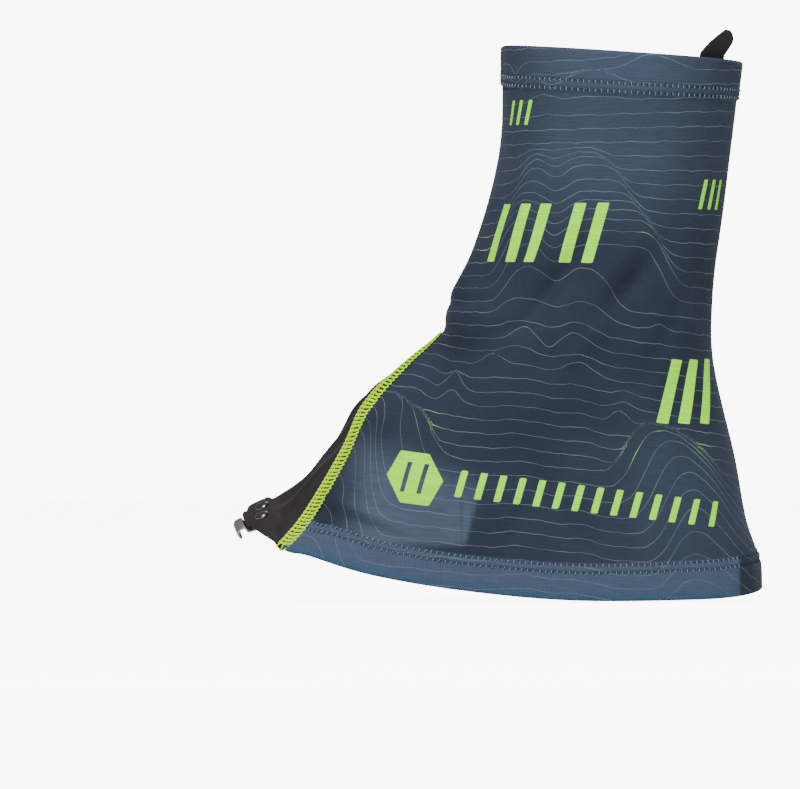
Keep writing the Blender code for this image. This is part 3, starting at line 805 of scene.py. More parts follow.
# A sewn band falls to the cloth between these distances past its rows, in v. Each row lies in a
# dip, with a ridge between the two and a pit at each stitch.
BAND_FALL = (0.002, 0.006)
ROW_DIP, ROW_HALF = 0.00035, 0.0022
RIDGE_RISE, RIDGE_HALF = 0.00015, 0.0040
PIT_DEPTH, PIT_HALF = 0.00012, 0.0020
# Half the height of the painted shade line in each row, in v.
GROOVE_HALF = 0.0026
# The slight waves of the two sewn bands, as (per metre round, phase, share), and their height.
BAND_WAVES = ((260, 1.0, 1.0), (610, 2.0, 0.6))
BAND_WAVE_HEIGHT = 0.00016
BACK_SEAM_GROOVE, BACK_SEAM_DEPTH = 0.0008, 0.0004
# The cloth in v: its fold inside the hem, its outside and its fold inside the cuff, and how many
# rows of points lie on each and on the two edges between them.
HEM_FOLD, OUTSIDE, CUFF_FOLD = (0.070, 0.006), (0.006, 0.992), (0.990, 0.925)
HEM_FOLD_ROWS, HEM_EDGE_ROWS, OUTSIDE_ROWS, CUFF_EDGE_ROWS, CUFF_FOLD_ROWS = 12, 9, 350, 11, 14
# How far the two edges roll over, in v, and where the cuff's roll starts.
HEM_ROLL, CUFF_ROLL, CUFF_ROLL_FROM = 0.0045, 0.0075, 0.993


def folds(x, z):
    lift = np.zeros_like(x)
    for centre_x, centre_z, half_long, half_wide, slope, height in FOLDS:
        a = math.radians(slope)
        along = (x - centre_x) * math.cos(a) + (z - centre_z) * math.sin(a)
        across = (z - centre_z) * math.cos(a) - (x - centre_x) * math.sin(a)
        lift += height * np.exp(-((along / half_long) ** 2) - (across / half_wide) ** 2)
    return lift


def painted_sheen(x, z):
    """How pale the knit is painted by sheen and light where it is stretched: round the calf, over
    the shoe's collar, and most where the laces press it out."""
    leg = CALF_PALE * smooth_step(z, *CALF_RISE) * (1 - 0.5 * smooth_step(x, *CALF_BACK))
    leg = leg * smooth_step(x, *CALF_FRONT)
    collar = COLLAR_PALE * (1 - smooth_step(z, *COLLAR_FALL)) * smooth_step(x, *COLLAR_FRONT)
    collar = collar * (1 - 0.7 * smooth_step(x, *COLLAR_BACK))
    start, end, low, high = LACE_SHEEN_BOX
    edge = end + LACE_SHEEN_LEAN * (z - high)
    slant = z - LACE_SHEEN_SLANT * (end - x)
    amount = smooth_step(x, start, start + 0.020) * (1 - smooth_step(x, edge - 0.0030, edge))
    amount = amount * smooth_step(z, low, low + 0.004)
    amount = amount * (1 - smooth_step(slant, high - 0.020, high + 0.002))
    streaks = np.sin(1900 * x + 60 * z) + np.sin(1130 * x - 90 * z + 1.0) + np.sin(3100 * x)
    laces = LACES_PALE * amount * (0.78 + 0.09 * streaks * smooth_step(x, -0.080, -0.070))
    return np.maximum(leg + collar, laces)


def band_lift(v, rows, base, above):
    """Height of a sewn band: base on its own side of the rows, BODY_LIFT on the other, a dip at
    each row and a ridge between them. above says whether the band lies above its rows."""
    low, high = min(rows), max(rows)
    near, far = BAND_FALL
    if above:
        lift = BODY_LIFT + (base - BODY_LIFT) * smooth_step(v, low - far, low - near)
    else:
        lift = base + (BODY_LIFT - base) * smooth_step(v, high + near, high + far)
    for row in rows:
        lift -= ROW_DIP * np.exp(-(((v - row) / ROW_HALF) ** 2))
    middle = (low + high) / 2
    return lift + RIDGE_RISE * np.exp(-(((v - middle) / RIDGE_HALF) ** 2))


def cloth_rows():
    """(v, lift, side) of the printed cloth's rows: from the hem's inner fold, round the hem's
    edge, up the outside, over the cuff's edge and down inside. side is 1 on the outside."""
    rows = [(v, HEM_INNER, 0) for v in np.linspace(*HEM_FOLD, HEM_FOLD_ROWS)]
    middle, radius = (HEM_LIFT + HEM_INNER) / 2, (HEM_LIFT - HEM_INNER) / 2
    for a in np.linspace(-1.3, 1.3, HEM_EDGE_ROWS):
        rows.append((HEM_ROLL - HEM_ROLL * math.cos(a), middle + radius * math.sin(a), 0.5))
    rows += [(v, 0.0, 1) for v in np.linspace(*OUTSIDE, OUTSIDE_ROWS)]
    middle, radius = (CUFF_LIFT + CUFF_INNER) / 2, (CUFF_LIFT - CUFF_INNER) / 2
    for a in np.linspace(1.35, -1.35, CUFF_EDGE_ROWS):
        rows.append((CUFF_ROLL_FROM + CUFF_ROLL * math.cos(a), middle + radius * math.sin(a), 0.5))
    rows += [(v, CUFF_INNER, 0) for v in np.linspace(*CUFF_FOLD, CUFF_FOLD_ROWS)]
    return np.array(rows)


def print_places(points, angles):
    """(p, w) of a grid: p is the arc round the leg, equal to x at the middle of each side."""
    flat = points[..., [0, 1]]
    steps = np.linalg.norm(np.diff(flat, axis=1), axis=2)
    arc = np.concatenate([np.zeros((len(points), 1)), np.cumsum(steps, axis=1)], axis=1)
    p = np.empty(arc.shape)
    for j in range(len(points)):
        for outer in (True, False):
            here = angles[j] <= np.pi if outer else angles[j] > np.pi
            middle = np.pi / 2 if outer else 3 * np.pi / 2
            mid_arc = np.interp(middle, angles[j], arc[j])
            mid_x = np.interp(middle, angles[j], points[j, :, 0])
            run = (arc[j] - mid_arc) * (1 if outer else -1)
            p[j, here] = (mid_x + run)[here]
    x, z = points[..., 0], points[..., 2]
    return p, z + np.interp(z, *np.array(TILTS).T) * (x - TILT_CENTRE_X)


def outside_lift(v, x, y, z, p, angles):
    """How far the outside of the cloth lies from the tube."""
    hem = band_lift(v, HEM_ROWS, HEM_LIFT, False)
    cuff = band_lift(v, CUFF_ROWS, CUFF_LIFT, True)
    lift = np.where(v < 0.5, hem, cuff) + folds(x, z)
    pit = np.cos(2 * np.pi * p / STITCH_PITCH)
    for row in (*HEM_ROWS, *CUFF_ROWS):
        lift -= PIT_DEPTH * (1 + pit) * np.exp(-(((v - row) / PIT_HALF) ** 2))
    wave = sum(share * np.sin(pace * p + phase) for pace, phase, share in BAND_WAVES)
    wave = wave * (smooth_step(v, 0.90, 0.93) + 1 - smooth_step(v, 0.05, 0.09))
    at_heel = np.abs(angles - np.pi) < 0.5
    seam = BACK_SEAM_DEPTH * at_heel * np.exp(-((y / BACK_SEAM_GROOVE) ** 2))
    return lift + BAND_WAVE_HEIGHT * wave - seam


def print_attributes(v, x, z, p, w, near):
    """What the printed fabric's material reads at each point of the cloth."""
    level, slope = (read_table(table, p, w) for table in contour_tables())
    lime = np.zeros_like(p)
    for spot_p, spot_w, radius in LIME_SPOTS:
        lime = np.maximum(lime, np.exp(-(((p - spot_p) ** 2 + (w - spot_w) ** 2) / radius**2)))
    off_patch = 1 - smooth_step(x, *PATCH_EDGE)
    # Painted light: the hem paler where the shoe shows through it, the cuff paler across its lit
    # middle.
    hem_painted_light = HEM_PALE * (1 - smooth_step(v, HEM_ROWS[1], HEM_ROWS[1] + 0.006)) * off_patch
    cuff = CUFF_PALE * smooth_step(v, *CUFF_START)
    cuff = cuff * smooth_step(x, *CUFF_RISE) * (1 - smooth_step(x, *CUFF_FALL))
    # Painted shade along each stitch row.
    groove_shade = sum(np.exp(-(((v - row) / GROOVE_HALF) ** 2)) for row in (*HEM_ROWS, *CUFF_ROWS))
    return {
        "cloth": np.stack([p, w, np.zeros_like(p)], axis=-1),
        # Fifty lines are added so that a line's number is never negative.
        "contour": (level - FIRST_LINE) / LINE_PITCH + 50,
        "contour_slope": slope / LINE_PITCH,
        "lime_line": lime,
        "mark": mark_distance(x, z, p, w, near),
        "band": hem_painted_light + cuff,
        "edge": TEAL_STRENGTH * (1 - smooth_step(v, *TEAL_FALL)) * off_patch,
        "painted_sheen": painted_sheen(x, z) * (v > HEM_ROWS[1]),
        "groove_shade": groove_shade * (0.65 + 0.35 * np.cos(2 * np.pi * p / STITCH_PITCH)),
    }


def make_cloth(material, back):
    v, lift, side = (column[:, None] for column in cloth_rows().T)
    share = np.linspace(0, 1, CLOTH_COLUMNS + 1)[None, :]
    edge = seam_angle(v)
    angles = edge + share * (2 * np.pi - 2 * edge)
    base = tube(angles, np.clip(v, 0, 1) + 0 * angles)
    x, y, z = np.moveaxis(base, -1, 0)
    p, w = print_places(base, angles)
    lift = np.where(side == 1, outside_lift(v, x, y, z, p, angles), lift)
    points = wall(angles, v + 0 * angles, lift)
    near = (angles <= np.pi) & (side == 1)
    attributes = print_attributes(v, x, z, p, w, near)
    made = sheet_from_grid(
        "printed_cloth", points, material, CLOTH_THICKNESS, attributes, weld=True, back=back
    )
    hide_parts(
        "lower_panel", "ankle_panel", "upper_panel", "hem_inner_fold", "cuff_inner_fold"
    )
    bend(made)
    return made


def bend(made):
    """Bakes the piece's place into its mesh."""
    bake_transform(made)
    return made


# ---- the coated panel and tongue

TONGUE_ROOT = np.array([-0.1447, -0.0010, 0.0373])
TONGUE_PITCH = math.radians(25.0)
TONGUE_LEAN = math.radians(22.0)
TONGUE_LENGTH = 0.0148
TONGUE_HALF_WIDTH = 0.0110
TONGUE_CORNER = 0.0065
TONGUE_THICKNESS = 0.0012
PANEL_TOP = 0.452
PANEL_LIFT = 0.0001
PANEL_THICKNESS = 0.0009
# How many points lie across the coated cloth, and along its panel, its bend and its tongue.
PANEL_COLUMNS = 61
PANEL_ROWS, JOINT_ROWS, TONGUE_ROWS = 170, 14, 34
TONGUE_START = 0.0030
PANEL_FRONT_CUT = 0.035
# The coated cloth hangs below the tongue's sides, as (how far at the tongue's root, direction).
APRONS = {1: (0.0120, (-0.06, -0.64, -0.76)), -1: (0.0170, (0.09, 0.61, -0.78))}
APRON_START, APRON_LENGTH = 0.0030, 0.0102
APRON_SHARE = 0.62


def tongue_axes():
    """The tongue's own directions: along to its tip, across to the outer side, and up."""
    along = np.array([-math.cos(TONGUE_PITCH), 0, -math.sin(TONGUE_PITCH)])
    flat_up = np.array([-math.sin(TONGUE_PITCH), 0, math.cos(TONGUE_PITCH)])
    up = flat_up * math.cos(TONGUE_LEAN) + np.array([0, -1, 0]) * math.sin(TONGUE_LEAN)
    return along, np.cross(up, along), up


def tongue_points(along, across, up):
    axes = tongue_axes()
    parts = [np.asarray(c)[..., None] * axis for c, axis in zip((along, across, up), axes)]
    return TONGUE_ROOT + parts[0] + parts[1] + parts[2]


def make_panel(material):
    """The coated cloth from the ankle crease to the tongue's round tip."""
    s = np.linspace(-1, 1, PANEL_COLUMNS)[None, :]
    low = PANEL_FRONT_CUT * (1 - s**4)
    t = np.linspace(1, 0, PANEL_ROWS)[:, None]
    v = low + (PANEL_TOP - low) * t
    angles = s * (seam_angle(v) + 0.004)
    crease = np.exp(-(((s - 0.15) / 0.22) ** 2)) * smooth_step(v, 0.30, 0.02)
    soft = 0.0006 * np.sin(3.0 + 5.0 * s + 26 * v) + 0.0005 * np.sin(11 * s - 38 * v)
    edge = 1 - s**6
    lift = PANEL_LIFT + edge * (soft - 0.0010 * crease)
    panel = wall(angles, v, lift)
    a = np.linspace(TONGUE_START, TONGUE_LENGTH, TONGUE_ROWS)[:, None]
    past = np.maximum(0, a - (TONGUE_LENGTH - TONGUE_CORNER))
    round_off = TONGUE_CORNER - np.sqrt(np.maximum(TONGUE_CORNER**2 - past**2, 0))
    half = TONGUE_HALF_WIDTH - round_off
    dish = 0.0006 * (s**2) - 0.0003 * np.sin(np.pi * a / TONGUE_LENGTH)
    flat_share = s / APRON_SHARE
    hang = np.clip(1 - (a - APRON_START) / APRON_LENGTH, 0, 1)
    across = np.where(np.abs(flat_share) < 1, flat_share, np.sign(s))
    across = s + (across - s) * smooth_step(hang, 0.0, 0.25)
    tongue = tongue_points(a + 0 * s, half * across, TONGUE_THICKNESS - dish)
    for side, (drop, direction) in APRONS.items():
        past = np.clip((side * s - APRON_SHARE) / (1 - APRON_SHARE), 0, 1)
        tongue += (hang * drop * past)[..., None] * unit(np.array(direction))
    start, end = panel[-1], tongue[0]
    reach = np.linalg.norm(end - start, axis=1, keepdims=True)
    leave = unit(panel[-1] - panel[-3]) * reach
    arrive = unit(tongue[2] - tongue[0]) * reach
    joint = []
    for u in np.linspace(0, 1, JOINT_ROWS)[1:-1]:
        h = (2 * u**3 - 3 * u**2 + 1, u**3 - 2 * u**2 + u, 3 * u**2 - 2 * u**3, u**3 - u**2)
        joint.append(h[0] * start + h[1] * leave + h[2] * end + h[3] * arrive)
    points = np.concatenate([panel, np.array(joint), tongue])[::-1]
    made = sheet_from_grid("coated_panel", points, material, PANEL_THICKNESS)
    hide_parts("instep_panel", "hook_tongue")
    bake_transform(made)
    return made


# ---- the flatlock seams

# The seam from its apex to the hem, as (share of its length, reach over the panel, width).
SEAM_TABLE = (
    (0.00, 0.0008, 0.0046),
    (0.35, 0.0002, 0.0044),
    (0.70, 0.0014, 0.0048),
    (1.00, 0.0026, 0.0058),
)
RUNG_PITCH = 0.0018
RUNG_RADIUS = 0.00056
# How far a rung climbs along the seam as it crosses it, and how far it sways, in pitches.
RUNG_CLIMB, RUNG_SWAY = 1.1, 0.10
RUNG_UNEVEN = 0.00010
# A rung's lift from the cloth, with a hump over each half and a low arch over the whole.
RUNG_LIFT, RUNG_HUMPS, RUNG_ARCH = 0.0008, 0.0004, 0.0002
THREAD_FLATNESS = 0.62
# The loose ends below the hem: where across the seam each starts, and their size and curl.
TAIL_SHARES = (0.1, 0.45, 0.8)
TAIL_START, TAIL_LENGTH, TAIL_LIFT = 0.0012, 0.0030, 0.0010
TAIL_CURL, TAIL_RADIUS = 0.0007, 0.00030
# The threads that run along the seam: (share across, scallop, radius, lift).
LONG_THREADS = (
    (0.05, 0.00003, 0.00050, 0.0010),
    (0.47, 0.00010, 0.00030, 0.0014),
    (0.95, 0.00038, 0.00038, 0.0008),
)


def seam_path(side, count=900):
    """Dense (length, angle, v, point) data along a flatlock seam, from its apex down."""
    v = np.linspace(SEAM_APEX - 0.008, 0.002, count)
    angle = side * seam_angle(v)
    spot = tube(angle, v)
    return run_length(spot), angle, v, spot


def seam_points(path, side, length, across, lift):
    """(points, normals) on the wall at these lengths along and distances across the seam."""
    lengths, angles, levels, spots = path
    angle, v = np.interp(length, lengths, angles), np.interp(length, lengths, levels)
    run = np.stack([np.interp(length, lengths, np.gradient(spots[:, i])) for i in range(3)], -1)
    _, along, up, normal = wall_frame(angle, v)
    cross = unit(np.cross(unit(run), normal))
    cross = cross * np.where(cross[..., 1:2] * side < 0, 1, -1)
    step = cross * across[..., None]
    skew = (along * up).sum(-1)
    r, u = (step * along).sum(-1), (step * up).sum(-1)
    round_part = (r - skew * u) / (1 - skew**2)
    up_part = (u - skew * r) / (1 - skew**2)
    around = np.linalg.norm(tube(angle + STEP, v) - tube(angle - STEP, v), axis=-1) / (2 * STEP)
    rise = np.linalg.norm(tube(angle, v + STEP) - tube(angle, v), axis=-1) / STEP
    new_angle, new_v = angle + round_part / around, v + up_part / rise
    normal = wall_frame(new_angle, new_v)[3]
    return wall(new_angle, new_v, lift), normal


def make_flatlock(name, side, lime, node):
    """Slanting rungs between a straight front thread and a scalloped rear one, and a thin thread
    over their middle."""
    path = seam_path(side)
    total = path[0][-1]
    places = np.linspace(0, total, 200)
    middle_y = np.interp(places, path[0], np.abs(path[3][:, 1]))

    def across(length, share):
        down, reaches, widths = np.array(SEAM_TABLE).T
        reach = np.interp(length, down * total, reaches)
        reach = np.minimum(reach, np.maximum(np.interp(length, places, middle_y), 0))
        width = np.interp(length, down * total, widths) * smooth_step(length, -0.006, 0.012)
        return share * width - reach

    paths = []
    count = int(total / RUNG_PITCH)
    for i in range(count + 1):
        start = (i + 0.5 * RUNG_CLIMB) * RUNG_PITCH + RUNG_UNEVEN * math.sin(7.3 * i)
        t = np.linspace(0, 1, 13)
        sway = RUNG_SWAY * np.sin(2 * np.pi * t)
        length = np.clip(start - RUNG_PITCH * (RUNG_CLIMB * t + sway), 0, total)
        humps = RUNG_HUMPS * np.abs(np.sin(2 * np.pi * t)) + RUNG_ARCH * np.sin(np.pi * t)
        lift = RUNG_LIFT + humps
        paths.append(seam_points(path, side, length, across(length, 0.02 + 0.94 * t), lift))
    sizes = [RUNG_RADIUS] * len(paths)
    length = np.linspace(0, total, count * 8)
    phase = 2 * np.pi * length / RUNG_PITCH
    for share, scallop, radius, lift in LONG_THREADS:
        place = across(length, share) + scallop * np.cos(phase)
        paths.append(seam_points(path, side, length, place, lift + 0.00015 * np.sin(phase)))
        sizes.append(radius)
    for i, share in enumerate(TAIL_SHARES):
        t = np.linspace(0, 1, 9)
        length = total - TAIL_START + TAIL_LENGTH * t
        held = np.minimum(length, total)
        spot, normal = seam_points(path, side, held, across(total, share), TAIL_LIFT)
        run = unit(path[3][-1] - path[3][-12])
        spot = spot + run * np.maximum(0, length - total)[:, None]
        curl = TAIL_CURL * np.sin(3 * t + 2.0 * i)[:, None] * normal
        paths.append((spot + curl * t[:, None], normal))
        sizes.append(TAIL_RADIUS)
    made = tubes(name, paths, sizes, lime, sides=8, flat=THREAD_FLATNESS)
    return register(made, "lime_thread", "skirt", node)


# ---- coverstitch rows

STITCH_HEIGHT = 0.0012
STITCH_RADIUS = 0.00020
# A stitch arches out of the cloth, and the thread that links it to the next sinks in.
STITCH_ARCH, STITCH_SINK = 0.00030, 0.00022
LINK_ARCH, LINK_SINK = 0.00006, 0.00062
LINK_RADIUS = STITCH_RADIUS * 0.4
STITCH_STOP_ANGLE = 0.44


def stitch_row(level, low_lift, pitch, height, ring, seed):
    """Short upright loops of thread along one row, and the thread between them, as paths."""
    edge = 0.0 if ring else float(seam_angle(level)) + 0.06
    fine = np.linspace(edge, 2 * np.pi - edge, 2400)
    length = run_length(tube(fine, level + 0 * fine))
    at_patch = (np.abs(fine - np.pi) < STITCH_STOP_ANGLE) & (not ring)
    paths = []
    for i in range(int(length[-1] / pitch)):
        centre = (i + 0.5 + 0.04 * math.sin(5.1 * i + seed)) * pitch
        if at_patch[np.searchsorted(length, centre)]:
            continue
        t = np.linspace(-1, 1, 7)
        lean = 0.00012 * math.sin(2.7 * i + seed)
        turn = np.interp(centre + lean * t, length, fine)
        v = level + t * (height / 2 / WALL_LENGTH)
        lift = low_lift + STITCH_ARCH * np.cos(np.pi / 2 * t) - STITCH_SINK
        paths.append((wall(turn, v, lift), wall_frame(turn, v)[3]))
        t = np.linspace(0, 1, 5)
        turn = np.interp(centre + pitch * t, length, fine)
        v = level - (height / 2 - height * t) / WALL_LENGTH
        lift = low_lift - LINK_SINK + LINK_ARCH * np.sin(np.pi * t)
        paths.append((wall(turn, v, lift), wall_frame(turn, v)[3]))
    return paths


def make_rows(material):
    groups = (
        (HEM_ROWS, ("hem_stitch_lower", "hem_stitch_upper"), HEM_LIFT, False, "skirt"),
        (CUFF_ROWS, ("cuff_stitch_upper", "cuff_stitch_lower"), CUFF_LIFT, True, "leg"),
    )
    made = []
    for levels, nodes, lift, ring, body in groups:
        for i, (level, node) in enumerate(zip(levels, nodes)):
            paths = stitch_row(level, lift, STITCH_PITCH, STITCH_HEIGHT, ring, i + 2 * ring)
            sizes = [STITCH_RADIUS, LINK_RADIUS] * (len(paths) // 2)
            rows = tubes("thread_" + node, paths, sizes, material)
            made.append(register(rows, "navy_thread", body, node))
    return made


# ---- the inside: elastic, patch, seam

ELASTIC_LEVELS = (0.934, 0.995)
ELASTIC_LIFT = -0.0003
ELASTIC_THICKNESS = 0.0010
ELASTIC_RIB, ELASTIC_RIB_DEPTH = 0.0016, 0.00008
PATCH_HALF_ANGLE = math.radians(25.0)
PATCH_LEVELS = (0.006, 0.085)
PATCH_LIFT = -0.0032
PATCH_THICKNESS = 0.0015
PILE_DEPTH = 0.0002
BACK_SEAM_LEVELS = (0.093, 0.922)
BACK_SEAM_HALF_WIDTH = 0.0030
BACK_SEAM_LIFT = -0.0017
BACK_SEAM_THICKNESS = 0.0008
# The allowance's edges rise by this much, and it waves slightly up the back.
BACK_SEAM_EDGE, BACK_SEAM_WAVE, BACK_SEAM_WAVES = 0.0003, 0.00008, 210
OVERLOCK_PITCH = 0.0022
OVERLOCK_RADIUS = 0.00016
OVERLOCK_SINK = 0.00002


def make_elastic(material):
    """The knitted elastic sealed in the cuff."""
    v = np.linspace(*ELASTIC_LEVELS, 26)[:, None]
    angles = np.linspace(0, 2 * np.pi, 721)[None, :]
    arc = print_places(tube(angles, v + 0 * angles), angles + 0 * v)[0]
    lift = ELASTIC_LIFT - ELASTIC_RIB_DEPTH * (1 + np.cos(2 * np.pi * arc / ELASTIC_RIB))
    points = wall(angles, v, lift)
    place = np.stack([arc, v * WALL_LENGTH + 0 * arc, 0 * arc], axis=-1)
    made = sheet_from_grid(
        "elastic_band", points, material, ELASTIC_THICKNESS, {"cloth": place}, weld=True
    )
    return register(made, "elastic_band", "leg", "cuff_elastic")


def make_heel_patch(material):
    """A patch of loop pile with round corners, facing the shoe."""
    s, t = np.linspace(-1, 1, 141)[None, :], np.linspace(1, -1, 53)[:, None]
    corner = 1 - 0.06 * t**8
    angles = np.pi + PATCH_HALF_ANGLE * s * corner
    middle, half = sum(PATCH_LEVELS) / 2, (PATCH_LEVELS[1] - PATCH_LEVELS[0]) / 2
    v = middle + half * t * (1 - 0.10 * s**8)
    pile = 0.00022 * np.sin(61 * s + 9 * np.sin(5 * t)) * np.sin(23 * t + 7 * np.sin(9 * s))
    edge = 0.0005 * np.maximum(np.abs(s), np.abs(t)) ** 14
    points = wall(angles, v, PATCH_LIFT + PILE_DEPTH + pile + edge)
    made = sheet_from_grid("loop_patch", points, material, PATCH_THICKNESS - PILE_DEPTH)
    return register(made, "loop_pile", "skirt", "heel_patch")


def back_seam_points(v, share, lift):
    """Points on the seam allowance: share runs from -1 to 1 across it."""
    v, share, lift = np.broadcast_arrays(v, share, lift)
    spot, _, _, normal = wall_frame(np.full(v.shape, np.pi), v)
    step = np.array([0, BACK_SEAM_HALF_WIDTH, 0])
    return spot + normal * lift[..., None] + step * share[..., None], normal


def make_back_seam(cloth, thread_material):
    """The seam allowance up the inside of the back, and its overlocked edges."""
    low, high = BACK_SEAM_LEVELS
    v = np.linspace(high, low, 170)[:, None]
    share = np.linspace(-1, 1, 15)[None, :]
    wave = BACK_SEAM_WAVE * np.sin(BACK_SEAM_WAVES * v + 3 * share)
    lift = BACK_SEAM_LIFT + BACK_SEAM_EDGE * np.abs(share) + wave
    points, _ = back_seam_points(v, share, lift)
    across, along = np.broadcast_arrays(share * BACK_SEAM_HALF_WIDTH, v * WALL_LENGTH)
    place = np.stack([across, along, 0 * along], axis=-1)
    made = sheet_from_grid(
        "back_seam_allowance", points, cloth, BACK_SEAM_THICKNESS, {"cloth": place}
    )
    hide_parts("back_seam_lower", "back_seam_ankle", "back_seam_upper")
    paths = []
    count = int((high - low) * WALL_LENGTH / OVERLOCK_PITCH)
    for side in (-1, 1):
        t = np.linspace(0, 1, count * 8)
        zigzag = 0.80 + 0.16 * np.cos(2 * np.pi * t * count)
        v = low + (high - low) * t
        wave = BACK_SEAM_WAVE * np.sin(BACK_SEAM_WAVES * v)
        lift = BACK_SEAM_LIFT - OVERLOCK_SINK + BACK_SEAM_EDGE * zigzag + wave
        paths.append(back_seam_points(v, side * zigzag, lift))
    overlock = tubes("back_seam_overlock", paths, OVERLOCK_RADIUS, thread_material)
    return [bend(made), bend(overlock)]


# ---- the pull tab

TAB_ANGLE = math.radians(144.5)
CUFF_DEPTH = 0.068
TAB_DEPTH = 0.0044
TAB_RISE = 0.0014
TAB_HALF_WIDTH = 0.0074
TAB_HALF_THICKNESS = 0.0008
TAB_SEWN_LENGTH = 0.0110
TAB_TIP = (-0.0080, 0.0068)
TAB_TIP_RADIUS = 0.0036
TAB_TIP_ARC = (math.radians(54.0), math.radians(205.0))
TAB_BULGE = 0.0016
# The bartack's half length and half height, and how far down the sewn end it lies.
BARTACK = (0.0050, 0.0026, 0.55)
BARTACK_TURNS = 30
BARTACK_LIFT, BARTACK_RADIUS = 0.00032, 0.00022


def tab_axes():
    """The place of the tab's hinge, and its directions along the cuff, out and up."""
    low = 1 - CUFF_DEPTH
    spot = tube(TAB_ANGLE, 1.0)
    up = unit(spot - tube(TAB_ANGLE, low))
    run = unit(np.cross(wall_frame(TAB_ANGLE, 1 - CUFF_DEPTH / 2)[3], up))
    out = np.cross(up, run)
    return spot - out * TAB_DEPTH + up * TAB_RISE, run, out, up


def tab_edges(height):
    """The across places of the tab's two edges at a height above its hinge."""
    if height <= 0:
        return -TAB_HALF_WIDTH, TAB_HALF_WIDTH
    sides = []
    for turn, root in zip(TAB_TIP_ARC[::-1], (-TAB_HALF_WIDTH, TAB_HALF_WIDTH)):
        end = [TAB_TIP[0] + TAB_TIP_RADIUS * math.cos(turn)]
        end.append(TAB_TIP[1] + TAB_TIP_RADIUS * math.sin(turn))
        if height < end[1]:
            share = height / end[1]
            bulge = TAB_BULGE * math.sin(math.pi * share) if root > 0 else 0.0
            sides.append(root + (end[0] - root) * share + bulge)
        else:
            reach = math.sqrt(max(0.0, TAB_TIP_RADIUS**2 - (height - TAB_TIP[1]) ** 2))
            sides.append(TAB_TIP[0] + (reach if root > 0 else -reach))
    return sides


def make_pull_tab(material, thread_material):
    root, run, out, up = tab_axes()
    top = TAB_TIP[1] + TAB_TIP_RADIUS
    below = np.linspace(-TAB_SEWN_LENGTH, 0, 24)[:-1]
    above = top * np.sin(np.linspace(0, np.pi / 2, 40)[:-1])
    rings, places = [], []
    for height in (*below, *above):
        low, high = tab_edges(height)
        across, rise = plate_section((high - low) / 2, TAB_HALF_THICKNESS)
        across = across + (low + high) / 2
        curl = rise + 0.0004 * math.sin(max(0.0, height) / top * math.pi)
        rings.append(root + across[:, None] * run + curl[:, None] * out + height * up)
        places.append(np.column_stack([across, np.full(len(across), height), 0 * across]))
    made = loft("webbing_tab", rings, material, np.array(places).reshape(-1, 3))
    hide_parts("pull_tab", "tab_sewn_end")
    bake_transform(made)
    half_long, half_high, share = BARTACK
    middle = -TAB_SEWN_LENGTH * share
    t = np.linspace(0, 1, BARTACK_TURNS * 14)
    zigzag = np.arcsin(np.sin(2 * np.pi * t * BARTACK_TURNS)) * 2 / np.pi
    across = (2 * t - 1) * half_long
    depth = -TAB_HALF_THICKNESS - BARTACK_LIFT - 0.0001 * np.cos(4 * np.pi * t * BARTACK_TURNS)
    spots = [
        root + a * run + d * out + (middle + half_high * z) * up
        for a, d, z in zip(across, depth, zigzag)
    ]
    path = (spots, np.tile(-out, (len(t), 1)))
    stitches = tubes("bartack", [path], BARTACK_RADIUS, thread_material)
    register(stitches, "navy_thread", "leg", "tab_bartack")


# ---- the tongue's metal and backing

BACKING_TOP = -0.0003
BACKING_THICKNESS = 0.0010
BACKING_INSET = 0.0012
BACKING_TIP_INSET = 0.0003
HOOK_LEVEL = -0.00205
HOOK_THICKNESS = 0.0009
HOOK_HALF_WIDTH = 0.0075
HOOK_START, HOOK_JOG, HOOK_STEP, HOOK_TIP = 0.0035, 0.0150, 0.0159, 0.0172
HOOK_RISE = 0.0022
HOOK_RADIUS = 0.0021
HOOK_ARC = math.radians(150.0)
HOOK_NARROW = 0.0056
HOOK_CORNER = 0.0016
# The hook starts to narrow at its waist, and lies this far across from the tongue's middle.
HOOK_WAIST = 0.0105
HOOK_ACROSS = 0.0011
# Each rivet's place on the tongue, as (along, across).
RIVETS = {"outer": (0.0076, 0.0056), "inner": (0.0060, -0.0034)}
# The rivet's cap and its closed head, as (radius, height over the tongue's underside).
RIVET_CAP = ((0.0011, -0.0026), (0.0011, 0.0012), (0.00285, 0.0012), (0.0030, 0.00135))
RIVET_DOME = (0.0030, 0.00155, 0.0014)
RIVET_HEAD = ((0.0, -0.0034), (0.0021, -0.0034), (0.0025, -0.0031), (0.0025, -0.0027), (0, -0.0026))


def make_backing(material):
    """The webbing between the tongue's cloth and the hook."""
    half_width = TONGUE_HALF_WIDTH - BACKING_INSET
    corner = TONGUE_CORNER - BACKING_INSET
    end = TONGUE_LENGTH - BACKING_TIP_INSET
    middle = BACKING_TOP - BACKING_THICKNESS / 2
    rings, places = [], []
    turns = np.linspace(0, np.pi / 2, 12)
    alongs = [*np.linspace(2 * BACKING_INSET, end - corner, 12)[:-1]]
    alongs += [end - corner + corner * math.sin(a) for a in turns[:-1]]
    for along in alongs:
        past = max(0.0, along - (end - corner))
        half = half_width - corner + math.sqrt(corner**2 - past**2)
        across, up = plate_section(half, BACKING_THICKNESS / 2)
        rings.append(tongue_points(along + 0 * across, across, middle + up))
        places.append(np.column_stack([across, along + 0 * across, 0 * across]))
    made = loft("tongue_webbing", rings, material, np.array(places).reshape(-1, 3))
    register(made, "webbing", "tongue", "tongue_backing")


